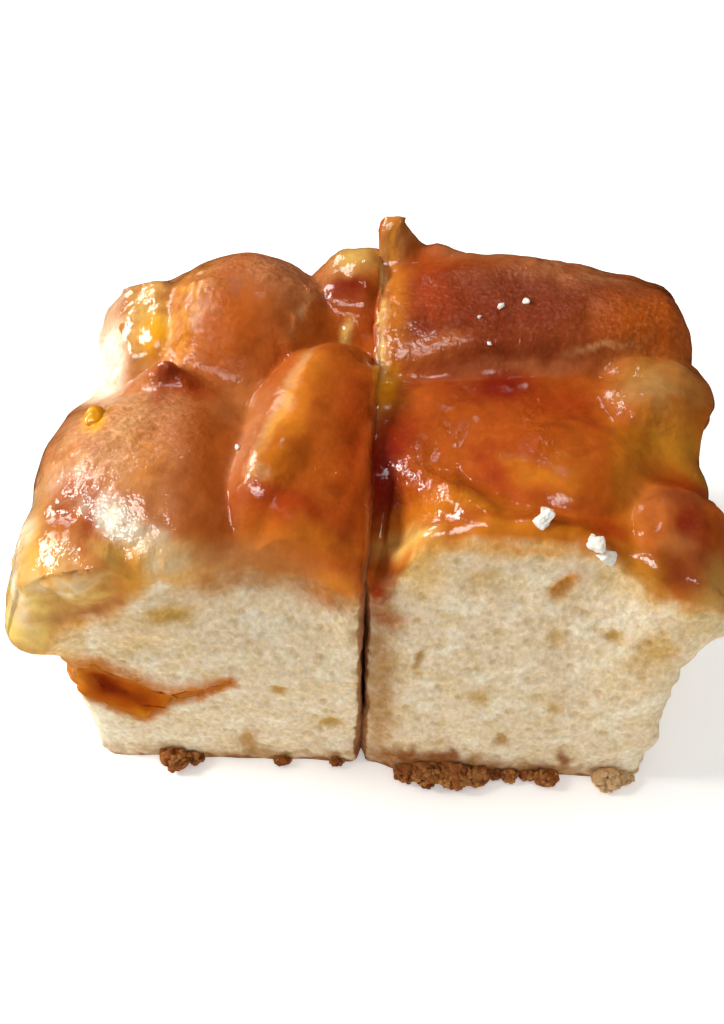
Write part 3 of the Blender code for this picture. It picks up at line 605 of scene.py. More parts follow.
# The front's dabs by x and z on the skin that shows there, and on the crumb
FRONT_SKIN_DABS = (
    # The butter dab second on the line below and the patchy cream one after it are a painted highlight at the
    # front of the left mound
    Dab((-24, 50), (24, 5), 0, HONEY, 0.6), Dab((-24.6, 50), (6, 3.4), -10, BUTTER, 0.8, 0.3),
    Dab((-24.6, 50.6), (4, 1.6), -10, CREAM, 0.7, 0.6), Dab((-43, 42), (5, 8), 0, BUTTER, 1.0, 0.2),
    # The patchy ivory dabs, second on the line below and first on the one after, are painted glints on the
    # left lip
    Dab((-36, 49), (5, 5), 0, BUTTER, 0.9, 0.3), Dab((-37, 50), (4, 2), 20, IVORY, 0.7, 0.8),
    Dab((-43.8, 45), (1.4, 5), 12, IVORY, 0.9, 0.7), Dab((-39, 51), (3, 2), 0, MARIGOLD, 0.5, 0.4),
    Dab((-44, 40), (3, 2.4), 0, BUTTER, 0.8, 0.3), Dab((-28.8, 49), (1.8, 4), 0, GOLD, 0.9),
    Dab((-36, 41.8), (7, 1.0), -6, TAN, 0.6), Dab((-14, 49), (9, 3.4), 0, PEACH, 0.8, 0.2),
    Dab((-5, 50), (7, 4), 0, AMBER, 0.9), Dab((-12, 46), (10, 2.6), 0, TAN, 0.6, 0.2),
    Dab((-3, 45.6), (4, 2), 0, HONEY, 0.7, 0.2), Dab((2, 49), (2.2, 6), 0, DEEP_RED, 1.0),
    Dab((1, 43), (2, 2.4), 0, RUST, 0.9), Dab((9, 54), (6, 2), 0, STRAW, 0.7),
    Dab((22, 54.6), (12, 1.6), 0, HONEY, 0.7), Dab((34, 50), (4, 4), 0, OLIVE, 0.8),
    Dab((39, 52), (4, 3), 0, MAHOGANY, 0.8), Dab((43, 48), (3, 4), 0, OCHRE, 0.8, 0.2),
)
FRONT_CRUMB_DABS = (
    # The ivory dab first on the line below is painted sunlight on the lower left crumb, which faces the
    # window; the SUNLIT streak on the line after it is a painted highlight
    Dab((-40, 8), (5, 14), 0, IVORY, 0.9), Dab((-38.5, 35), (4, 7), 0, STRAW, 0.6, 0.4),
    Dab((-36, 34), (1.2, 6), -16, SUNLIT, 0.7, 0.3), Dab((-38, 41), (6, 2), 0, GOLD, 0.6, 0.2),
    Dab((-25, 41), (3.6, 2.2), 0, OCHRE, 1.0), Dab((-14, 45), (9, 2.6), 0, TAN, 0.8, 0.1),
    Dab((-5, 43.4), (4.6, 3.4), 0, TAN, 1.0, 0.1), Dab((18, 52.2), (14, 1.5), 0, GOLD, 0.75, 0.2),
    Dab((6, 50), (3.4, 2.4), 30, GOLD, 0.7, 0.2), Dab((-30, 36), (5, 4), 0, STRAW, 0.35, 0.4),
    Dab((-40.4, 30), (4, 3.4), -10, STRAW, 0.8, 0.3), Dab((-36.4, 27.6), (1.8, 2.6), 12, HONEY, 0.9, 0.3),
    Dab((2.4, 22), (2.4, 26), 0, TOAST, 0.95, 0.15), Dab((3, 37.2), (3.6, 1.2), 14, BROWNED, 0.7),
    Dab((1.6, 42), (2, 3.4), 0, RUST, 1.0), Dab((7, 47), (3.4, 5), 0, STRAW, 0.6, 0.2),
    # The small ochre, honey and toast dabs that sit on the larger pores, from the line below on and the one
    # at (-25, 41) above, are painted shade in the pores
    Dab((15, 47), (2.6, 2.2), 0, OCHRE, 0.7), Dab((25.2, 45.6), (1.3, 2.8), -16, HONEY, 1.0),
    Dab((38.4, 36), (3, 7), -8, OCHRE, 0.8, 0.2), Dab((32.6, 36.8), (1.4, 1.6), 0, OCHRE, 0.9),
    Dab((25.4, 35), (1.4, 2), -20, OCHRE, 0.6), Dab((34, 48), (6, 2.6), 0, OCHRE, 0.6, 0.3),
    Dab((43, 44), (3, 4), 0, LEMON, 0.5, 0.3), Dab((-4.6, 13.6), (1.3, 2), 0, OCHRE, 0.9),
    Dab((-11.6, 23), (1.3, 1.6), 20, OCHRE, 0.9), Dab((-17.4, 5), (1.5, 5), 0, TOAST, 0.9),
    Dab((-16, 3), (2.6, 3), 0, TOAST, 0.6), Dab((20, 11.6), (1, 2), 0, TOAST, 0.8),
    Dab((7.6, 30), (0.6, 2.4), -14, TOAST, 0.9), Dab((16.6, 22), (1.6, 1.8), 0, OCHRE, 0.6),
    Dab((27, 20), (1.2, 2), 0, OCHRE, 0.6), Dab((10, 3.4), (9, 3.8), 0, FOOT_TAN, 0.9, 0.2),
    Dab((9, 3.0), (8, 3.6), 0, FOOT_BROWN, 1.0, 0.4), Dab((5.6, 5.4), (3.4, 2.2), 0, FOOT_BROWN, 1.0, 0.3),
    Dab((24, 2.0), (8, 2.6), 0, FOOT_TAN, 0.9, 0.4), Dab((28, 2.4), (3, 2.4), 0, FOOT_BROWN, 0.8, 0.4),
    Dab((7, 6.6), (0.9, 2.4), -8, FOOT_BROWN, 1.0), Dab((12, 5.4), (2.2, 2), 0, FOOT_BROWN, 1.0, 0.2),
    Dab((13.6, 6.8), (0.8, 1.6), 0, FOOT_BROWN, 0.9), Dab((16.4, 5.6), (1, 2), 0, TOAST, 0.9),
    Dab((30, 6), (0.9, 4), 14, FOOT_BROWN, 0.9), Dab((20, 2), (1.4, 3), 0, FOOT_BROWN, 0.6),
    Dab((26, 1), (8, 1.6), 0, TOAST, 0.7), Dab((-5, 2), (1.2, 3), 0, TOAST, 0.8),
    Dab((-24, 0.6), (14, 1.4), 0, TOAST, 0.7, 0.4),
)

# Where the skin's edge on a wall wanders, as noises; how softly it ends; within which distance a wall counts
CUT_SKIN = 1.8
SKIN_BLEND = 1.7
SKIN_WANDERS = ((1.7, 3.0, 41.0), (0.7, 0.9, 44.0))
NEAR_WALL = 2.5
AWAY_FROM_WALL = 8.0

# Where the front's own colours take over from the top's: behind which depth not, and above which height not
FRONT_DEPTH = (19.5, 23.5)
FRONT_HEIGHT = (51.0, 55.0)

# How far below the skin's edge the crumb is soaked and golden, and how strongly
SOAKED_BELOW = (-5.0, -0.5)
GOLDEN_BELOW = (-2.6, 0.4)
GOLDEN = 0.6

# From how much of its direction on a wall counts as the front or as the cut, how near the middle the cut's
# walls lie and how dark brown they are painted, as painted shade in the knife gap; and how uneven the skin's
# and the crumb's colours are, as noises
FACES_FRONT = (0.2, 0.6)
FACES_CUT = (0.5, 0.8)
BESIDE_CUT = 3.0
GAP_PAINTED_SHADE = 0.9
SKIN_UNEVEN = (0.1, 1.2, 33.0)
CRUMB_UNEVEN = (0.13, 1.2, 48.0)

# The foot's browning: colour, strength, height, how far that wanders, by which noise, and how softly it ends
FOOT_BROWNING = (
    (TOAST, 0.5, 3.6, 5.0, 2.4, 8.0, 2.4),
    (FOOT_BROWN, 0.85, 1.0, 2.6, 1.5, 18.0, 1.2),
)

# Bare crumb that shows through the top, painted near-white from a height up as painted sunlight, and where
# the skin is dry and speckled instead of wet
BARE_TOP = Mound((-37.6, 9.4), (4.4, 6.6), edge=4.0)
BARE_HEIGHT = (30.0, 40.0)
DRY_TOP = (
    Mound((-31, -7), (8.6, 8.6), 1.0), Mound((-24, 13), (5.5, 9.5), 0.8), Mound((-14, 22), (10, 6), 0.7),
    Mound((19, 15), (17, 7), 0.55, 3, 4.0), Mound((36, 14), (9, 6), 0.6, 3, 4.0),
)
DRY_CALM = 0.8

# Where the glaze has run into wet bumps, and the noises that shape them
WET_NOISES = ((0.34, 1.9, 90.0), (0.24, 1.0, 95.0))
WET_BUMPS = (
    Mound((-32.0, -19.8), (11.0, 2.8), 1.2, -35), Mound((-36.0, -24.4), (4.0, 1.6), 0.5),
    Mound((-27.6, 2.6), (4.0, 2.6), 1.0), Mound((-41.0, -13.0), (3.4, 6.0), 1.0),
    Mound((-43.0, -21.0), (3.6, 7.0), 0.9), Mound((-24.6, 13.0), (1.8, 8.0), 1.2, -8),
    Mound((-25.6, 6.6), (3.0, 1.6), 0.9, -30), Mound((-25.0, 2.0), (3.0, 2.2), 0.8, -16),
    Mound((-31.0, 17.0), (4.0, 5.0), 0.6), Mound((-12.6, -15.0), (2.6, 1.8), 0.9, -12),
    Mound((-15.4, -9.0), (1.2, 3.0), 0.5, -14), Mound((-9.0, 14.4), (1.8, 4.6), 1.7, -14),
    Mound((-11.6, 8.0), (1.6, 2.4), 0.7, -30), Mound((-3.8, 12.4), (1.8, 2.6), 0.8),
    Mound((2.2, 11.0), (1.3, 6.0), 0.9), Mound((7.0, 8.0), (5.0, 1.4), 0.45),
    Mound((7.6, -13.4), (6.0, 3.6), 1.4, -55), Mound((10.0, -4.0), (1.0, 3.0), 0.6, 30),
    Mound((21.8, -4.6), (2.0, 5.8), 1.0), Mound((3.4, 27.0), (3.0, 3.4), 0.7),
    Mound((38.0, -1.4), (5.0, 1.6), 0.6), Mound((27.5, 22.5), (7.0, 2.6), 0.5, -8),
    Mound((9.0, 26.0), (5.0, 2.0), 0.6, -12),
)

# Where the glaze has soaked in and mirrors less
CALM = (
    Mound((-7.0, -3.0), (6.0, 11.0), 0.95, -16, 4.0), Mound((-8.0, -18.6), (8.0, 3.0), 1.0),
    Mound((-17.0, -9.0), (2.4, 11.0), 0.95, -14), Mound((-17.0, 9.0), (7.0, 8.0), 0.95, -20),
    Mound((-36.6, -21.6), (3.4, 3.0), 0.85), Mound((20.0, -9.0), (10.0, 6.0), 0.95, -10),
    Mound((2.0, -10.0), (2.4, 6.0), 0.9), Mound((14.0, 2.0), (10.0, 4.0), 0.85),
    Mound((9.0, -3.6), (7.0, 5.0), 0.95), Mound((18.0, 14.0), (16.0, 7.0), 0.65, 0, 4.0),
    Mound((36.0, -14.0), (4.0, 4.0), 0.8), Mound((41.0, -19.0), (3.6, 5.0), 0.6),
    Mound((35.0, 2.0), (3.6, 4.0), 0.5),
)


def over(colours, colour, weight):
    """Colours with another one laid over them, as strongly as each point's weight says."""
    weight = weight[:, None]
    return colours * (1.0 - weight) + colour * weight


def mottled(points, mottle):
    """How strongly a mottling shows at each point."""
    return mottle.strength * ramp(noises(points, *mottle.noises), mottle.low, mottle.high)


def strongest(points, mounds):
    """The most that any of some mounds reaches at each point."""
    most = np.zeros(len(points))
    for mound in mounds:
        most = np.maximum(most, mound.top * swell(points[:, 0], points[:, 1], mound))
    return most


def wetness(points, bumpy):
    """How strongly the glaze mirrors: fully in the wet bumps, less where it has soaked in or dried."""
    calm = np.maximum(DRY_CALM * strongest(points, DRY_TOP), strongest(points, CALM))
    return np.clip(1.0 - calm + bumpy, 0.0, 1.0)


def wet_bumps(points):
    """Height of the wet bumps at each point, in millimetres, and 0 to 1 how far it lies in one."""
    size = strongest(points, WET_BUMPS)
    return size * noises(points, *WET_NOISES), np.minimum(size, 1.0)


def paint(colours, at_x, at_y, dabs, wander, patches):
    """Lays dabs of colour over the ones already there, with wandering edges."""
    for dab in dabs:
        shape = Mound(dab.middle, dab.half, turn=dab.turn)
        weight = dab.strength * swell(at_x + wander[0], at_y + wander[1], shape)
        colours = over(colours, dab.colour, weight * (1.0 - dab.patchy * patches))
    return colours


def crust_colours(points):
    """The glazed skin's colour at each point, by its place on top or front, with painted highlights and
    shade.
    """
    x, y, z = points.T
    wander = [noises(points, *layers) for layers in SKIN_DAB_WANDER]
    patches = mottled(points, PATCHES)
    plain = np.tile(AMBER, (len(points), 1))
    left = paint(plain, x, y, LEFT_TOP_DABS, wander, patches)
    right = paint(plain, x, y, RIGHT_TOP_DABS, wander, patches)
    colours = np.where((x < cut_x(y, z))[:, None], left, right)
    front = paint(colours, x, z, FRONT_SKIN_DABS, wander, patches)
    colours = over(colours, front, ramp(-y, *FRONT_DEPTH) * (1.0 - ramp(z, *FRONT_HEIGHT)))
    colours = over(colours, colours * DARKER, mottled(points, THICK_GLAZE))
    colours = over(colours, np.minimum(colours * LIGHTER, PALEST), mottled(points, THIN_GLAZE))
    return colours * (1.0 + noises(points, SKIN_UNEVEN))[:, None]


def crumb_colours(points, facing, above):
    """The cut or torn sponge's colour at each point, golden just under the skin, with painted sunlight and
    shade.
    """
    x, y, z = points.T
    wander = [noises(points, *layers) for layers in CRUMB_DAB_WANDER]
    colours = np.tile(CREAM, (len(points), 1))
    colours = over(colours, LEMON, mottled(points, YELLOW_CRUMB))
    colours = over(colours, IVORY, mottled(points, PALE_CRUMB))
    colours = over(colours, STRAW, GOLDEN * ramp(above, *SOAKED_BELOW) * mottled(points, SOAKED_CRUMB))
    colours = over(colours, GOLD, GOLDEN * ramp(above, *GOLDEN_BELOW))
    front = paint(colours, x, z, FRONT_CRUMB_DABS, wander, mottled(points, PATCHES))
    colours = over(colours, front, ramp(-facing[:, 1], *FACES_FRONT))
    for colour, strength, height, wanders, grain, apart, blend in FOOT_BROWNING:
        browned = ramp(height - z + wanders * noise_at(points, grain, apart), 0.0, blend)
        colours = over(colours, colour, strength * browned)
    # Painted shade: the walls inside the knife gap are painted dark brown
    in_cut = ramp(np.abs(facing[:, 0]), *FACES_CUT) * (np.abs(x) < BESIDE_CUT)
    colours = over(colours, FOOT_BROWN, GAP_PAINTED_SHADE * in_cut)
    # Painted sunlight: the bare crumb at the top left is painted near-white
    colours = over(colours, SUNLIT, swell(x, y, BARE_TOP) * ramp(z, *BARE_HEIGHT))
    return colours * (1.0 + noises(points, CRUMB_UNEVEN))[:, None]


def skin_share(cake, skin, points):
    """1 on glazed skin and 0 on bare crumb, with a soft, wandering line between; and the height over it."""
    x, y, z = points.T
    width, depth = WIDTH_AT_LIPS / 2, BACK_Y - FRONT_FOOT_LEFT
    top = skin_over(cake.floor, cake.mounds, cake.hollows, x, y)
    walls = (
        (skin.v * depth, np.interp(x, *FRONT_SKIN_EDGE)),
        ((1.0 - skin.v) * depth, np.interp(x, *BACK_SKIN_EDGE)),
        ((1.0 - skin.u) * width, np.interp(y, *cake.skin_edge)),
        (skin.u * width, top - CUT_SKIN),
    )
    nearness = [ramp(NEAR_WALL - distance, 0.0, NEAR_WALL) for distance, _ in walls]
    near = sum(nearness)
    edge = sum(weight * line for weight, (_, line) in zip(nearness, walls)) / (near + 1e-9)
    edge = edge - AWAY_FROM_WALL * (1.0 - np.clip(near, 0.0, 1.0))
    for size, grain, apart in SKIN_WANDERS:
        edge = edge + size * noise_at(points, grain, apart)
    above = z - edge
    return ramp(above, -SKIN_BLEND, SKIN_BLEND) * (1.0 - swell(x, y, BARE_TOP)), above


# Bubbles that the knife or the tear has opened: how many, their radii, how much commoner small ones are,
# their depth to their radius, the larger ones by x and z, and how those wander across and up; below which
# share of skin the crumb is bare, and how far forwards a front wall faces
CRUMB_TALL = np.array((1.0, 1.0, 0.7))
PIT_COUNT = 1500
PIT_SIZES = (0.4, 1.0)
PIT_SMALLNESS = 2.6
PIT_DEPTH = 0.36
PORE_WANDERS = ((0.6, 1.3, 62.0), (0.6, 1.3, 66.0))
BARE_SHARE = 0.5
FRONT_WALL = -0.3
LARGE_PORES = (
    Mound((25.2, 45.2), (0.9, 2.2), 1.3, -18), Mound((32.6, 36.6), (1.0, 0.8), 0.7),
    Mound((25.0, 36.0), (0.8, 1.2), 0.3, -20), Mound((16.8, 22.0), (1.0, 1.0), 0.3),
    Mound((27.0, 19.6), (0.8, 1.0), 0.35), Mound((31.0, 21.6), (1.0, 0.7), 0.3),
    Mound((20.2, 12.0), (0.6, 1.4), 0.5), Mound((7.6, 30.0), (0.4, 2.2), 0.6, -14),
    Mound((29.6, 10.0), (0.6, 0.8), 0.4), Mound((-11.8, 23.2), (1.2, 0.9), 0.6, 10),
    Mound((-4.6, 13.6), (1.0, 1.2), 0.6), Mound((-17.2, 7.0), (0.8, 2.4), 0.4),
    Mound((-24.6, 40.6), (1.8, 0.9), 0.5),
)


def pits_in(points, facing, share, seed):
    """Depths of the bubbles in the bare crumb."""
    drawn = random.Random(seed)
    tree = kdtree.KDTree(len(points))
    for number, point in enumerate(points):
        tree.insert(point, number)
    tree.balance()
    depths = np.zeros(len(points))
    crumb = [int(number) for number in np.nonzero(share < BARE_SHARE)[0]]
    for middle in drawn.sample(crumb, PIT_COUNT):
        size = PIT_SIZES[0] + (PIT_SIZES[1] - PIT_SIZES[0]) * drawn.random() ** PIT_SMALLNESS
        for _, number, distance in tree.find_range(points[middle], size):
            depths[number] = max(depths[number], PIT_DEPTH * size * (1.0 - (distance / size) ** 2))
    x = points[:, 0] + noises(points, PORE_WANDERS[0])
    z = points[:, 2] + noises(points, PORE_WANDERS[1])
    in_front = facing[:, 1] < FRONT_WALL
    for pore in LARGE_PORES:
        depths = np.maximum(depths, pore.top * swell(x, z, pore) * in_front)
    return depths


# Caramel pocket that runs through the left slice: its section and run, as in the solid; how far back it lies
# in the walls, how softly that ends, and left of which place it is
CARAMEL_X = (-43.5, -37.0, -32.0, -27.8, -23.0, -18.8)
CARAMEL_Z = (25.6, 22.4, 18.2, 18.9, 21.4, 24.2)
CARAMEL_HALF = (1.0, 5.4, 5.2, 1.2, 0.9, 0.4)
CARAMEL_PAST_WALL = 3.0
CARAMEL_THINS = Rise(0.55, 0.05, 0.9)
CARAMEL_MOVES_IN = Rise(10.0, 0.0, 0.5)
CARAMEL_ARCH = 2.5
CARAMEL_RECESS = 0.55
RECESS_EDGE = (-0.5, 0.1)
CARAMEL_LEFT_OF = -10.0

# The stain round it: how far it has soaked up and down, from which height up, how the reach fades towards the
# middle of the cake, how uneven it is, and from which depth it is softer, as behind
SOAKS_UP = 6.325
SOAKS_DOWN = 2.76
SOAKS_UP_FROM = 22.0
SOAK_FADES = 14.0
SOAK_LEAST = 0.3
SOAK_UNEVEN = 1.2
SOFTER_FROM = (10.0, 20.0)
SOFTER = 0.8


def along_pocket(y):
    """How much of its thickness the pocket has at a depth y, how far it has moved in, and its arch."""
    front_end, back_end = FRONT_FOOT_LEFT - CARAMEL_PAST_WALL, BACK_Y + CARAMEL_PAST_WALL
    depth = (y - front_end) / (back_end - front_end)
    arch = CARAMEL_ARCH * np.sin(math.pi * depth)
    return 1.0 - rise(depth, CARAMEL_THINS), rise(depth, CARAMEL_MOVES_IN), arch


def caramel_at(share, across, y):
    """A place in the pocket: a share along its section, -1 to 1 across its thickness, at a depth y."""
    scale, moved_in, arch = along_pocket(y)
    steps = np.linspace(0.0, 1.0, len(CARAMEL_X))
    x = CARAMEL_X[2] + (np.interp(share, steps, CARAMEL_X) - CARAMEL_X[2]) * scale + moved_in
    z = np.interp(share, steps, CARAMEL_Z) + arch
    return x, z + np.interp(share, steps, CARAMEL_HALF) * scale * across


def beyond_caramel(points):
    """How far each point lies outside the pocket's thickness; negative inside it."""
    x, y, z = points.T
    scale, moved_in, arch = along_pocket(y)
    along = CARAMEL_X[2] + (x - moved_in - CARAMEL_X[2]) / scale
    middle = np.interp(along, CARAMEL_X, CARAMEL_Z) + arch
    off = np.abs(z - middle) - np.interp(along, CARAMEL_X, CARAMEL_HALF) * scale
    past_end = np.maximum(0.0, np.maximum(CARAMEL_X[0] - along, along - CARAMEL_X[-1]))
    return np.hypot(np.maximum(off, 0.0), past_end) + np.minimum(off, 0.0)


def caramel_marks(points, top_count):
    """How deep the left slice's wall lies back for the caramel, and how strongly it is stained round it."""
    x, y, z = points.T
    beyond = beyond_caramel(points)
    on_wall = (np.arange(len(points)) >= top_count) & (x < CARAMEL_LEFT_OF)
    recess = CARAMEL_RECESS * (1.0 - ramp(beyond, *RECESS_EDGE)) * on_wall
    softer = SOFTER * ramp(y, *SOFTER_FROM)
    reach = np.where(z > SOAKS_UP_FROM, SOAKS_UP, SOAKS_DOWN)
    reach = reach * np.clip(-x / SOAK_FADES - 1.0, SOAK_LEAST, 1.0)
    uneven = (SOAK_UNEVEN + softer) * noise_at(points, 1.6, 50.0)
    return recess, (1.0 - ramp((beyond + uneven) / (reach * (1.0 + softer)), 0.0, 1.0)) * on_wall


# The crumb's pale fine grain, which also stands for painted sparkle, what it does to the colour, and the
# warmth that the painted shade between grains keeps
PALE_GRAIN = (0.08, 0.06, 0.04)
GRAIN_LIGHTER = (1.25, 1.25, 1.25)
WARM_SHADE = (0.75, 1.0, 1.9)


def blank_material(name):
    """A new material, its node tree and its shader."""
    made = bpy.data.materials.new(name)
    made.use_nodes = True
    return made, made.node_tree, made.node_tree.nodes["Principled BSDF"]


def set_values(node, values):
    """Sets a node's own numbers and colours by their names."""
    for name, value in values.items():
        node.inputs[name].default_value = value


def object_place(tree):
    return tree.nodes.new("ShaderNodeTexCoord").outputs["Object"]


def painted(tree, name, kind="Fac"):
    """What a mesh holds at each of its points under a name."""
    found = tree.nodes.new("ShaderNodeAttribute")
    found.attribute_name = name
    return found.outputs[kind]


def clouds(tree, place, scale, detail=2.0):
    """Soft noise through the material, so many grains to the metre."""
    texture = tree.nodes.new("ShaderNodeTexNoise")
    set_values(texture, {"Scale": scale, "Detail": detail})
    tree.links.new(place, texture.inputs["Vector"])
    return texture.outputs["Fac"]


def spread(tree, value, low, high, to_low, to_high):
    """A value from low to high as one from to_low to to_high."""
    node = tree.nodes.new("ShaderNodeMapRange")
    set_values(node, {"From Min": low, "From Max": high, "To Min": to_low, "To Max": to_high})
    tree.links.new(value, node.inputs["Value"])
    return node.outputs["Result"]


def reckon(tree, how, *values, kind="Math"):
    """A sum with numbers, or with vectors; each value comes from another node or is set."""
    node = tree.nodes.new("ShaderNode" + kind)
    node.operation = how
    for value, socket in zip(values, node.inputs):
        if isinstance(value, bpy.types.NodeSocket):
            tree.links.new(value, socket)
        else:
            socket.default_value = value
    return node.outputs[0]


def bumped(tree, height, strength, distance):
    """The shading direction, tilted by a height."""
    bump = tree.nodes.new("ShaderNodeBump")
    set_values(bump, {"Strength": strength, "Distance": distance})
    tree.links.new(height, bump.inputs["Height"])
    return bump.outputs["Normal"]


def sponge_and_glaze():
    """Matt crumb that light soaks into, dry skin with pale grains, a wet caramel glaze; painted shade and
    sparkle.
    """
    made, tree, shader = blank_material("sponge_and_glaze")
    upright = reckon(tree, "MULTIPLY", object_place(tree), CRUMB_TALL, kind="VectorMath")
    grain, wet, ripple = (painted(tree, name) for name in ("grain", "wet", "ripple"))
    pebbles, specks = clouds(tree, upright, 1400.0, 4.0), clouds(tree, upright, 1650.0, 3.0)
    # Painted shade and light: the colour darkens where the pebble noise, which also sets the bump, is low and
    # lightens where it is high; the pale specks, which raise the bump too, are partly painted sparkle
    shade = reckon(tree, "MULTIPLY", grain, spread(tree, pebbles, 0.3, 0.7, -0.3, 0.26))
    shade = reckon(tree, "MULTIPLY_ADD", shade, WARM_SHADE, (1.0, 1.0, 1.0), kind="VectorMath")
    toned = reckon(tree, "MULTIPLY", painted(tree, "tint", "Color"), shade, kind="VectorMath")
    specks_and_sparkle = tree.nodes.new("ShaderNodeMix")
    specks_and_sparkle.data_type = "RGBA"
    speck_links = {
        "Factor": reckon(tree, "MULTIPLY", grain, spread(tree, specks, 0.5, 0.7, 0.0, 0.8)),
        "A": toned,
        "B": reckon(tree, "MULTIPLY_ADD", toned, GRAIN_LIGHTER, PALE_GRAIN, kind="VectorMath"),
    }
    for name, value in speck_links.items():
        tree.links.new(value, specks_and_sparkle.inputs[name])
    grains_up = reckon(tree, "MULTIPLY", grain, reckon(tree, "ADD", pebbles, specks))
    height = reckon(tree, "MULTIPLY_ADD", ripple, clouds(tree, upright, 1000.0), grains_up)
    tilted = bumped(tree, height, 0.6, 0.0004)
    surface = {
        "Base Color": specks_and_sparkle.outputs["Result"],
        "Roughness": spread(tree, wet, 0.0, 1.0, 0.8, 0.5),
        "Coat Weight": reckon(tree, "MULTIPLY", wet, 0.9),
        "Normal": tilted,
        "Coat Normal": tilted,
    }
    for name, value in surface.items():
        tree.links.new(value, shader.inputs[name])
    set_values(shader, {
        "Coat Roughness": 0.045, "Coat IOR": 1.5, "Specular IOR Level": 0.07,
        "Subsurface Weight": 0.15, "Subsurface Radius": (1.0, 0.45, 0.18), "Subsurface Scale": 0.0008,
    })
    return made


def stand(name, data):
    """Puts a new object with this data into the scene."""
    made = bpy.data.objects.new(name, data)
    bpy.context.scene.collection.objects.link(made)
    return made


def add_piece(name, points, faces, colours, surface, **amounts):
    """Makes a piece of the cake from its points, with a colour and a wetness, grain and ripple at each."""
    mesh = bpy.data.meshes.new(name)
    placed = (points + np.array((*MIDDLE, 0.0))) * MM
    mesh.from_pydata(placed.tolist(), [], [[int(corner) for corner in face] for face in faces])
    tint = mesh.color_attributes.new("tint", "FLOAT_COLOR", "POINT")
    opaque = np.column_stack((np.clip(colours, 0.0, 1.0), np.ones(len(points))))
    tint.data.foreach_set("color", opaque.ravel())
    for kind, amount in amounts.items():
        held = mesh.attributes.new(kind, "FLOAT", "POINT")
        held.data.foreach_set("value", (np.ones(len(points)) * amount).astype(np.float32))
    mesh.materials.append(surface)
    mesh.shade_smooth()
    return stand(name, mesh)


def glaze_relief(points):
    """The slow ripples of the glaze, in millimetres."""
    return noises(points, (0.26, 4.6, 1.0), (0.11, 1.9, 7.0))


# How much of the fine grain bare crumb and wet skin have, where dry skin has 1, and the least ripple of the
# wet skin
CRUMB_GRAINS = 0.52
SKIN_GRAINS = 0.16
SLIGHT_RIPPLE = 0.2

# Between which depths glaze fills up the cut edge's rounding, and how far down the walls its lift fades
LIFT_STARTS = (-14.0, -6.0)
LIFT_ENDS = (16.0, 21.0)
LIFT_FADES = (0.8, 1.0)

# A wall faces sideways from this much of its direction on. The cut's walls lie this near the middle, and the
# torn outer walls this far from it
SIDEWAYS = (0.4, 0.8)
CUT_WITHIN = 4.0
TORN_BEYOND = 20.0

# The walls along the knife cut lean on each other from one depth on, and at the very front only low down;
# how far each leans at least, how much more where they touch, and how unevenly, as a noise
TOUCHING_DEPTH = (-23.0, -19.0)
TOUCHING_FRONT = (-27.6, -26.0)
TOUCHING_HEIGHT = (10.0, 18.0)
LEAN_LEAST = 0.12
LEAN_TOUCHING = 0.62
LEAN_UNEVEN = (0.25, 1.5, 58.0)

# The crumb's grain, cells and torn lumps and the dry skin's speckles, each by its size, grain and apart
GRAINY = (0.10, 1.3, 2.0)
CELLS = (0.12, 1.4, 6.0)
TORN = ((0.9, 4.2, 60.0), (0.5, 1.9, 64.0))
SPECKLES = (0.12, 1.2, 12.0)
STEADY_FOOT = (0.0, 1.0)  # between these heights the relief grows from nothing

# How strongly a pit is painted darker ochre inside, as painted shade, and from which depth fully; how strong
# the caramel's stain is; and how much less the skin on the front mirrors, by its facing, but for the left end
PIT_PAINTED_SHADE = 0.45
PIT_SHADE_FULL_DEPTH = 0.35
STAIN = 0.92
FRONT_DULLER = 0.75
DULLER_FACING = (0.45, 0.75)
DULLER_FROM = (-30.0, -26.0)


def risen_points(cake, skin, surfaces):
    """The slice's points with the lift of the glaze, which fades out a little way down the walls."""
    points, count = skin.points.copy(), skin.top_count
    lift = glaze_over_chunks(points[:count], surfaces)
    near_cut = np.maximum(0.0, 1.0 - skin.u[:count] * WIDTH_AT_LIPS / 2 / CUT_ROUND)
    rounded = CUT_ROUND * (1.0 - np.sqrt(np.maximum(0.0, 1.0 - near_cut * near_cut)))
    deep = points[:count, 1]
    lift += cake.cut_lift * rounded * ramp(deep, *LIFT_STARTS) * (1.0 - ramp(deep, *LIFT_ENDS))
    points[:count, 2] += lift
    rows = (len(points) - count) // len(skin.rim)
    points[count:, 2] += np.tile(lift[skin.rim], rows) * ramp(skin.share[count:], *LIFT_FADES)
    return points


def crumb_relief(points, sideways):
    """The bare crumb's relief, in millimetres: grain and cells, and lumps where an outer wall was torn."""
    upright = points * CRUMB_TALL
    size, grain, apart = CELLS
    cells = size * (0.5 - cells_at(upright, grain, apart))
    torn = sideways * (np.abs(points[:, 0]) > TORN_BEYOND) * noises(points, *TORN)
    return noises(upright, GRAINY) + cells + torn


def cut_closing(points, sideways):
    """How far the wall along the knife cut leans over to the other slice, in millimetres."""
    x, y, z = points.T
    at_front = ramp(y, *TOUCHING_FRONT) * (1.0 - ramp(z, *TOUCHING_HEIGHT))
    touching = np.maximum(ramp(y, *TOUCHING_DEPTH), at_front)
    lean = LEAN_LEAST + LEAN_TOUCHING * touching + noises(points, LEAN_UNEVEN)
    return sideways * (np.abs(x) < CUT_WITHIN) * lean


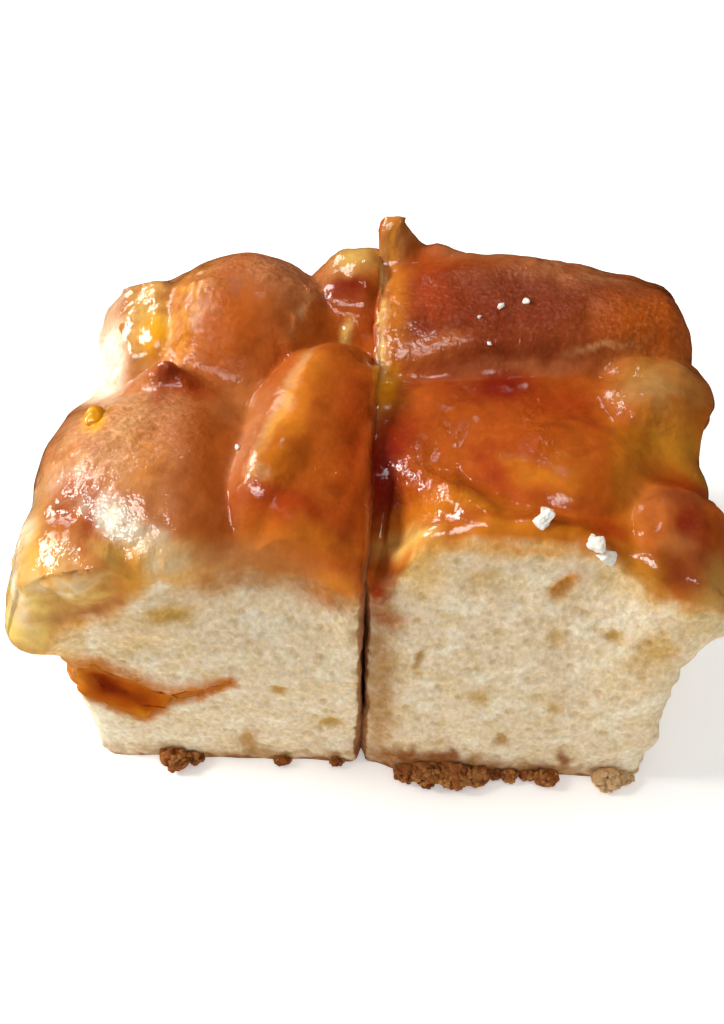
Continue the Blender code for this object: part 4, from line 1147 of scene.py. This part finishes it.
baked = sponge_and_glaze()
finished = {}
for cake, chunks, seed in ((LeftSlice(), LEFT_CHUNKS, 7), (RightSlice(), RIGHT_CHUNKS, 11)):
    skin = slice_skin(cake)
    surfaces = {name: chunk_surface(chunk, cake) for name, chunk in chunks.items()}
    points = risen_points(cake, skin, surfaces)
    facing = normals_of(points, skin.faces)
    share, above = skin_share(cake, skin, points)
    recess = soaked = np.zeros(len(points))
    if cake.side < 0.0:
        recess, soaked = caramel_marks(points, skin.top_count)
    pits = pits_in(points, facing, share, seed)
    dry = strongest(points, DRY_TOP)
    bumps, bumpy = wet_bumps(points)
    speckled = noises(points, SPECKLES) * dry
    on_skin = glaze_relief(points) + speckled * (1.0 - bumpy) + bumps
    sideways = ramp(np.abs(facing[:, 0]), *SIDEWAYS)
    relief = (1.0 - share) * (crumb_relief(points, sideways) - pits) + share * on_skin
    relief = (relief + cut_closing(points, sideways) - recess) * ramp(points[:, 2], *STEADY_FOOT)
    points = points + facing * relief[:, None]
    colours = crumb_colours(points, facing, above)
    # Painted shade: each pit is painted darker ochre, the more the deeper it is
    colours = over(colours, OCHRE, PIT_PAINTED_SHADE * np.clip(pits / PIT_SHADE_FULL_DEPTH, 0.0, 1.0))
    colours = over(colours, SOAKED, STAIN * soaked)
    colours = over(colours, crust_colours(points), share)
    duller = FRONT_DULLER * ramp(-facing[:, 1], *DULLER_FACING) * ramp(points[:, 0], *DULLER_FROM)
    wet = share * (1.0 - duller) * wetness(points, bumpy)
    grain = (1.0 - share) * CRUMB_GRAINS + share * (SKIN_GRAINS + dry * (1.0 - SKIN_GRAINS))
    ripple = share * (SLIGHT_RIPPLE + bumpy)
    faces = list(skin.faces) + [skin.foot]
    piece = add_piece(cake.name + "_bake", points, faces, colours, baked, wet=wet, grain=grain, ripple=ripple)
    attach(piece, "root")
    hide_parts(cake.name)
    finished[cake.name] = (cake, points, skin.faces, surfaces)


# Caramel pocket.
# Soft caramel that was spooned into the batter, baked to a dark amber goo inside the left slice.
# It fills its own channel; the knife cut through it, so it shows on the front, and again at the back.
# How many points it has along and through its section, and rows from front to back; how far it stands out of
# the walls, and how far inside the left wall it keeps
ALONG_SECTION = 96
THROUGH_SECTION = 14
CARAMEL_STATIONS = 40
CARAMEL_PROUD = -0.1
CORNER_INSIDE = 0.4
DARK_CARAMEL = srgb(128, 36, 2)
CLEAR_CARAMEL = srgb(194, 90, 6)
CLOUDY = Mottle(1.0, ((1.0, 2.6, 77.0), (0.4, 1.1, 79.0)), -0.4, 0.4)
# Noises that make its edge ragged, across and up, and its surface lumpy, and that move its dabs' edges; and
# where its rim has the stain's colour, by how far inside it lies
RAGGED_ACROSS = ((1.3, 3.4, 61.0), (0.5, 1.3, 63.0))
RAGGED_UP = ((1.9, 3.0, 67.0), (0.6, 1.3, 69.0))
LUMPY = ((0.34, 2.4, 70.0), (0.16, 1.1, 74.0))
CARAMEL_DAB_WANDER = ((1.0, 2.2, 101.0), (1.0, 2.2, 103.0))
STAINED_RIM = (-1.6, -0.1)
# The caramel's dabs by x and z
CARAMEL_DABS = (
    Dab((-41, 24.5), (2.8, 4), 0, GOLD, 0.9, 0.2), Dab((-36.0, 24), (2.2, 3.6), 14, DARK_CARAMEL, 1.0, 0.2),
    Dab((-34.0, 20.8), (4.6, 1.8), -44, DARK_CARAMEL, 0.95, 0.2),
    Dab((-32.6, 14.6), (3, 1.8), 0, MARIGOLD, 0.8, 0.3), Dab((-27, 19.6), (1.8, 1.6), 0, HONEY, 0.9, 0.2),
    Dab((-21.0, 22.6), (3.0, 1.6), 25, AMBER, 0.8, 0.2),
)


def caramel_surface(cake):
    """The pocket's closed surface between the front wall and the back wall, trimmed at the left wall."""
    share, across = np.meshgrid(
        np.linspace(0.0, 1.0, ALONG_SECTION), np.linspace(-1.0, 1.0, THROUGH_SECTION), indexing="ij"
    )
    share, across = share.ravel(), across.ravel()

    def settled(wall, outward):
        y = np.full_like(share, wall(CARAMEL_X[2], CARAMEL_Z[2]))
        for _ in range(SETTLING_STEPS):
            x, z = caramel_at(share, across, y)
            inside = np.clip(OUTER_CORNER - x + cake.outer(y, z), 0.0, OUTER_CORNER)
            y = wall(x, z) - outward * (OUTER_CORNER - np.sqrt(OUTER_CORNER ** 2 - inside ** 2))
        return y + outward * CARAMEL_PROUD

    starts, ends = settled(cake.front, -1.0), settled(cake.back, 1.0)
    number = np.arange(share.size).reshape(ALONG_SECTION, THROUGH_SECTION)
    ring = np.concatenate((number[:, 0], number[-1, 1:], number[-2::-1, -1], number[0, -2:0:-1]))
    rows = []
    for station in np.linspace(0.0, 1.0, CARAMEL_STATIONS):
        chosen = np.arange(share.size) if station in (0.0, 1.0) else ring
        y = starts[chosen] + (ends[chosen] - starts[chosen]) * station
        x, z = caramel_at(share[chosen], across[chosen], y)
        x = np.maximum(x, cake.outer(y, z) + CORNER_INSIDE)
        rows.append(crumbled(np.stack((x, y, z), axis=1), 1.0))
    starts_at = np.cumsum([0] + [len(row) for row in rows])
    cap = grid_faces(number)
    faces = [cap, cap[:, ::-1] + starts_at[-2]]
    before = ring
    for station in range(1, CARAMEL_STATIONS):
        last = station == CARAMEL_STATIONS - 1
        after = starts_at[station] + (ring if last else np.arange(len(ring)))
        faces.append(band_faces(before, after))
        before = after
    return np.concatenate(rows), np.concatenate(faces)


def soft_caramel():
    """Clear, sticky caramel: light passes a little way in, and the surface is wet."""
    made, tree, shader = blank_material("soft_caramel")
    ripple = clouds(tree, object_place(tree), 700.0)
    tree.links.new(painted(tree, "tint", "Color"), shader.inputs["Base Color"])
    tree.links.new(bumped(tree, ripple, 0.5, 0.0003), shader.inputs["Normal"])
    set_values(shader, {
        "Roughness": 0.16, "Specular IOR Level": 0.3,
        "Subsurface Weight": 0.3, "Subsurface Radius": (1.0, 0.35, 0.08), "Subsurface Scale": 0.0008,
    })
    return made


points, faces = caramel_surface(finished["slice_left"][0])
edge = np.stack((noises(points, *RAGGED_ACROSS), np.zeros(len(points)), noises(points, *RAGGED_UP)), axis=1)
points = points + edge
points = points + normals_of(points, faces) * noises(points, *LUMPY)[:, None]
wander = [noises(points, layer) for layer in CARAMEL_DAB_WANDER]
colours = np.tile(CLEAR_CARAMEL, (len(points), 1))
colours = paint(colours, points[:, 0], points[:, 2], CARAMEL_DABS, wander, mottled(points, CLOUDY))
colours = over(colours, SOAKED, ramp(beyond_caramel(points), *STAINED_RIM))
piece = add_piece("caramel_filling", points, faces, colours, soft_caramel())
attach(piece, "root")
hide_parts("caramel_pocket")


# Cooked apple chunks.
# Wedges of apple, cooked soft and brown at the edges, that were pressed into the tops before baking.
# They are held by the sponge that rose round them, under the same glaze, which fills the seams.
SEAM_HEIGHT = 1.1  # from this far above the skin on, a chunk is shaded by its own facing
CUT_FLAT = (0.4, 2.0)  # how far from the cut its flat side ends


def shading_near(points, own, skin_points, skin_faces):
    """Each point's shading direction: the skin's where the chunk comes out of it, its own well above it."""
    skin_facing = normals_of(skin_points, skin_faces)
    tree = BVHTree.FromPolygons(skin_points.tolist(), skin_faces.tolist())
    shading = own.copy()
    for number, point in enumerate(points):
        spot, _, face, _ = tree.find_nearest(Vector(point))
        near = skin_facing[skin_faces[face]].mean(axis=0)
        near = near / np.linalg.norm(near)
        above = float(np.dot(point - np.array(spot), near))
        weight = 1.0 - float(ramp(above, 0.0, SEAM_HEIGHT))
        shading[number] = own[number] * (1.0 - weight) + near * weight
    return shading / np.linalg.norm(shading, axis=1, keepdims=True)


for cake, skin_points, skin_faces, surfaces in finished.values():
    for name, (points, faces) in surfaces.items():
        bumps, bumpy = wet_bumps(points)
        from_cut = ramp(cake.side * (points[:, 0] - cut_x(points[:, 1], points[:, 2])), *CUT_FLAT)
        points = points + normals_of(points, faces) * (from_cut * (glaze_relief(points) + bumps))[:, None]
        amounts = {"wet": wetness(points, bumpy), "grain": SKIN_GRAINS, "ripple": SLIGHT_RIPPLE + bumpy}
        piece = add_piece(name + "_wedge", points, faces, crust_colours(points), baked, **amounts)
        shading = shading_near(points, normals_of(points, faces), skin_points, skin_faces)
        piece.data.normals_split_custom_set_from_vertices(shading.tolist())
        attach(piece, "root")
        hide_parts(name)


# Pearl sugar.
# Grains of pressed white sugar, strewn over the glaze while it was wet; a few are left.
# Each is a chip of pressed crystals, stuck in the glaze. They are given by x, y and half size.
SUGAR = {
    "slice_left": ((-16.5, -9.0, 0.4),),
    "slice_right": (
        (21.7, -19.4, 1.15), (22.1, -18.2, 0.8), (28.3, -21.4, 1.15), (29.5, -22.2, 1.1), (27.6, -20.9, 0.6),
        (17.3, 13.8, 0.5), (21.0, 14.8, 0.5), (15.8, 8.4, 0.4), (14.4, 11.9, 0.3),
    ),
}
# Of each grain: how many flat sides, how far out they and its tips lie, as parts of the half size, from how
# squarely on a side counts, and the size and fineness of its bumps and of its roughness
SUGAR_SIDES = 12
SUGAR_SIDE_REACH = (0.55, 0.95)
SUGAR_FARTHEST = 1.3
SIDE_COUNTS = 0.1
SUGAR_BUMPS = (0.12, 2.2)
SUGAR_ROUGH = (0.05, 6.0)
# How fine small shapes are, how far their middles stand out of the cake, in half sizes, and how flat they are
FINE_DIVISIONS = 5
PROUD = 0.25
FLATTER = 0.82


def any_way(drawn):
    return Vector([drawn.gauss(0, 1) for _ in range(3)]).normalized()


def shaped_ball(divisions, shape):
    """A ball whose points a function moves to their places."""
    built = bmesh.new()
    bmesh.ops.create_icosphere(built, subdivisions=divisions, radius=1.0)
    for vert in built.verts:
        vert.co = shape(vert.co)
    return points_and_faces(built)


def joined(lumps):
    """The points and faces of many small shapes as those of one."""
    counts = np.cumsum([0] + [len(points) for points, _ in lumps])
    faces = [faces + count for (_, faces), count in zip(lumps, counts)]
    return np.concatenate([points for points, _ in lumps]), np.concatenate(faces)


def sugar_grain(middle, half, drawn):
    """One pressed grain: a chip with flat sides whose edges are worn round."""
    sides = [(any_way(drawn), drawn.uniform(*SUGAR_SIDE_REACH)) for _ in range(SUGAR_SIDES)]
    apart = sides[-1][0]

    def shape(spot):
        way = spot.normalized()
        flats = [far / way.dot(side) for side, far in sides if way.dot(side) > SIDE_COUNTS]
        bumps = SUGAR_BUMPS[0] * noise.noise(way * SUGAR_BUMPS[1] + apart)
        reach = min([SUGAR_FARTHEST] + flats)
        reach += bumps + SUGAR_ROUGH[0] * noise.noise(way * SUGAR_ROUGH[1])
        return middle + half * reach * Vector((way.x, way.y, FLATTER * way.z))

    return shaped_ball(FINE_DIVISIONS, shape)


def pressed_sugar():
    """White sugar: clear crystals that scatter light between them."""
    made, tree, shader = blank_material("pressed_sugar")
    shades = tree.nodes.new("ShaderNodeValToRGB")
    for element, position, colour in zip(
        shades.color_ramp.elements, (0.3, 0.6), ((0.86, 0.76, 0.62, 1.0), (0.98, 0.95, 0.90, 1.0))
    ):
        element.position = position
        element.color = colour
    tree.links.new(clouds(tree, object_place(tree), 1500.0), shades.inputs["Fac"])
    tree.links.new(shades.outputs["Color"], shader.inputs["Base Color"])
    set_values(shader, {
        "Roughness": 0.28,
        "Subsurface Weight": 0.5, "Subsurface Radius": (1.0, 0.95, 0.85), "Subsurface Scale": 0.0008,
    })
    return made


drawn = random.Random(5)
lumps = []
for name, grains in SUGAR.items():
    _, points, faces, _ = finished[name]
    tree = BVHTree.FromPolygons(points.tolist(), faces.tolist())
    for x, y, half in grains:
        lumps.append(sugar_grain(skin_below(tree, x, y) + Vector((0, 0, PROUD * half)), half, drawn))
points, faces = joined(lumps)
piece = add_piece("pearl_sugar", points, faces, np.ones_like(points), pressed_sugar())
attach(piece, "root")
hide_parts("slice_left", "slice_right")


# Bit of apple on the left shoulder.
# A crumb-sized piece of yellow apple that rose through the skin and baked there, clear and bright.
# The skin holds it.
BIT_PLACE = (-35.0, -5.6)
BIT_HALF = (1.3, 1.6, 0.9)
BIT_UNEVEN = 0.3
LUMP_GRAIN = 1.3
RIPE = Mottle(1.0, ((1.0, 1.2, 99.0),), -0.4, 0.3)

_, points, faces, _ = finished["slice_left"]
place = skin_below(BVHTree.FromPolygons(points.tolist(), faces.tolist()), *BIT_PLACE)


def bit_shape(spot):
    """A place on the bit's surface, for one on a ball."""
    uneven = 1.0 + BIT_UNEVEN * noise.noise(spot * LUMP_GRAIN)
    return place + Vector([spot[axis] * BIT_HALF[axis] * uneven for axis in range(3)])


points, faces = shaped_ball(FINE_DIVISIONS, bit_shape)
colours = over(np.tile(HONEY, (len(points), 1)), MARIGOLD, mottled(points, RIPE))
piece = add_piece("apple_bit", points, faces, colours, baked, wet=1.0, grain=0.0, ripple=SLIGHT_RIPPLE)
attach(piece, "root")
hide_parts("slice_left")


# Crumbs at the foot.
# Lumps of browned sponge that broke at the front edge when the slices were lifted out of the tin.
# They still cling to the foot of the front, each made of many bits. They are given by x, z and half size.
FOOT_CRUMBS = {
    "slice_left": ((-28.6, 1.9, 2.4), (-26.0, 1.2, 1.4), (-12.4, 0.9, 1.1), (-4.0, 0.9, 1.0)),
    "slice_right": (
        (6.6, 1.4, 1.9), (9.8, 1.9, 2.6), (14.0, 2.2, 2.9), (17.4, 1.6, 2.1), (20.0, 0.9, 1.1),
        (22.4, 1.1, 1.3), (25.2, 0.9, 1.1), (28.0, 1.3, 1.9), (37.4, 1.5, 2.3), (40.0, 1.1, 1.3),
    ),
}
# How high they keep above the table; the core's part of the half size; how many bits there are to its square,
# how far out they sit and how large they are; and how uneven and how rough each lump is
CRUMB_CLEARANCE = 0.25
CORE_SHARE = 0.88
BITS_TO_AREA = 26
BIT_REACH = (0.75, 0.95)
BIT_SIZES = (0.22, 0.55)
BIT_DIVISIONS = 2
LUMP_UNEVEN = 0.5
LUMP_ROUGH = 0.3
ROUGH_GRAIN = 0.7
# Their shades, the lighter toast over them, and the part of the foot where they are pale, and how pale
CRUMB_SHADES = (FOOT_DARK, FOOT_BROWN, FOOT_BROWN, FOOT_BROWN, FOOT_TAN)
TOASTED = Mottle(1.0, ((1.0, 1.5, 83.0), (0.4, 0.6, 85.0)), -0.1, 0.6)
PALE_FROM = (33.0, 36.0)
PALE = 0.75


def foot_lump(middle, half, divisions, apart):
    """One rough lump, standing just above the table."""
    def shape(spot):
        uneven = 1.0 + LUMP_UNEVEN * noise.noise(spot * LUMP_GRAIN + apart)
        rough = LUMP_ROUGH * noise.noise(spot * half / ROUGH_GRAIN - apart)
        spot = middle + Vector((spot.x, spot.y, spot.z * FLATTER)) * (half * uneven + rough)
        spot.z = max(spot.z, CRUMB_CLEARANCE)
        return spot

    return shaped_ball(divisions, shape)


drawn = random.Random(9)
lumps, colours = [], []
for name, crumbs in FOOT_CRUMBS.items():
    cake = finished[name][0]
    for x, z, half in crumbs:
        core = Vector((x, float(cake.front(x, z)) - PROUD * half, z))
        bits = [(core, CORE_SHARE * half, FINE_DIVISIONS, FOOT_BROWN)]
        for _ in range(round(BITS_TO_AREA * half * half)):
            way = any_way(drawn)
            way = Vector((way.x, -abs(way.y), FLATTER * way.z)) * half * drawn.uniform(*BIT_REACH)
            size = BIT_SIZES[0] + (BIT_SIZES[1] - BIT_SIZES[0]) * drawn.random() ** 2
            bits.append((core + way, size, BIT_DIVISIONS, drawn.choice(CRUMB_SHADES)))
        for middle, size, divisions, colour in bits:
            apart = Vector((len(lumps), -len(lumps), 0.0)) * SEED_APART
            lumps.append(foot_lump(middle, size, divisions, apart))
            colours.append(np.tile(colour, (len(lumps[-1][0]), 1)))
points, faces = joined(lumps)
colours = over(np.concatenate(colours), FOOT_TAN, mottled(points, TOASTED))
colours = over(colours, FOOT_PALE, PALE * ramp(points[:, 0], *PALE_FROM))
piece = add_piece("foot_crumbs", points, faces, colours, baked, wet=0.0, grain=0.5, ripple=0.0)
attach(piece, "root")
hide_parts("slice_left", "slice_right")


# Floor.
# Plain pale tabletop, matt, that only shows the shadow; it isn't part of the cake.
FLOOR_HALF = 3.0
floor_corners = [(x * FLOOR_HALF, y * FLOOR_HALF, 0.0) for x, y in ((-1, -1), (1, -1), (1, 1), (-1, 1))]
floor_mesh = bpy.data.meshes.new("floor")
floor_mesh.from_pydata(floor_corners, [], [(0, 1, 2, 3)])
floor = stand("floor", floor_mesh)
pale_top, _, shader = blank_material("pale_floor")
set_values(shader, {
    "Base Color": (0.97, 0.97, 0.96, 1.0), "Roughness": 0.9, "Specular IOR Level": 0.1,
    "Emission Color": (1.0, 1.0, 1.0, 1.0), "Emission Strength": 0.3,
})
floor_mesh.materials.append(pale_top)
floor.visible_glossy = False


# Lights.
# A soft window on the left, a little to the back, gives wet highlights; a small one behind gives sparkles.
# Fills in front and overhead lift the shade without mirroring in the glaze; two cards are only mirrored.
world = bpy.data.worlds.new("studio")
world.use_nodes = True
set_values(world.node_tree.nodes["Background"], {"Color": (1.0, 0.985, 0.96, 1.0), "Strength": 0.17})
world.cycles_visibility.glossy = False
bpy.context.scene.world = world
LIGHT_AIM = Vector((0.0, 0.0, 0.035))


def soft_light(name, place, size, power, colour, mirrored=True, lighting=True):
    """An area light that looks at the cake; one that isn't lighting is a card that is only mirrored."""
    data = bpy.data.lights.new(name, "AREA")
    data.shape = "RECTANGLE"
    data.size, data.size_y = size
    data.energy = power
    data.color = colour
    made = stand(name, data)
    made.location = place
    made.rotation_euler = (LIGHT_AIM - Vector(place)).to_track_quat("-Z", "Y").to_euler()
    made.visible_glossy = mirrored
    made.visible_diffuse = lighting
    made.visible_transmission = lighting


soft_light("window", (-0.62, 0.06, 0.50), (0.25, 0.25), 6.2, (1.0, 0.965, 0.91))
soft_light("back_window", (0.04, 0.44, 0.62), (0.05, 0.05), 0.22, (0.95, 0.97, 1.0))
soft_light("front_card", (-0.30, -0.50, 0.76), (0.42, 0.24), 5.6, (1.0, 1.0, 1.0), lighting=False)
soft_light("left_card", (-0.56, 0.54, 0.50), (0.26, 0.34), 4.0, (1.0, 1.0, 1.0), lighting=False)
soft_light("front_fill", (0.2, -0.85, 0.40), (0.7, 0.5), 1.1, (1.0, 0.98, 0.95), mirrored=False)
soft_light("over_fill", (0.05, 0.0, 0.95), (0.7, 0.7), 2.5, (1.0, 0.99, 0.97), mirrored=False)


# Camera.
# It looks down on the front of the slices, as the photograph does. Its place is in millimetres.
FOCAL_PIXELS = 1238.0
FRAME_HEIGHT = 1024.0
FILM = 36.0
CAMERA_UP = math.radians(56.1)
CAMERA_ROUND = math.radians(1.7)
CAMERA_PLACE = (2.25, -100.05, 180.4)
camera_data = bpy.data.cameras.new("camera")
camera_data.sensor_width = FILM
camera_data.lens = FILM * FOCAL_PIXELS / FRAME_HEIGHT
camera_data.clip_start = 0.005
camera_data.clip_end = 20.0
camera = stand("camera", camera_data)
backward = Vector((
    math.sin(CAMERA_ROUND) * math.cos(CAMERA_UP),
    -math.cos(CAMERA_ROUND) * math.cos(CAMERA_UP),
    math.sin(CAMERA_UP),
))
sideways = Vector((math.cos(CAMERA_ROUND), math.sin(CAMERA_ROUND), 0.0))
turned = Matrix((sideways, backward.cross(sideways), backward)).transposed().to_4x4()
turned.translation = Vector(CAMERA_PLACE) * MM
camera.matrix_world = turned
bpy.context.scene.camera = camera
bpy.context.scene.view_settings.view_transform = "Standard"
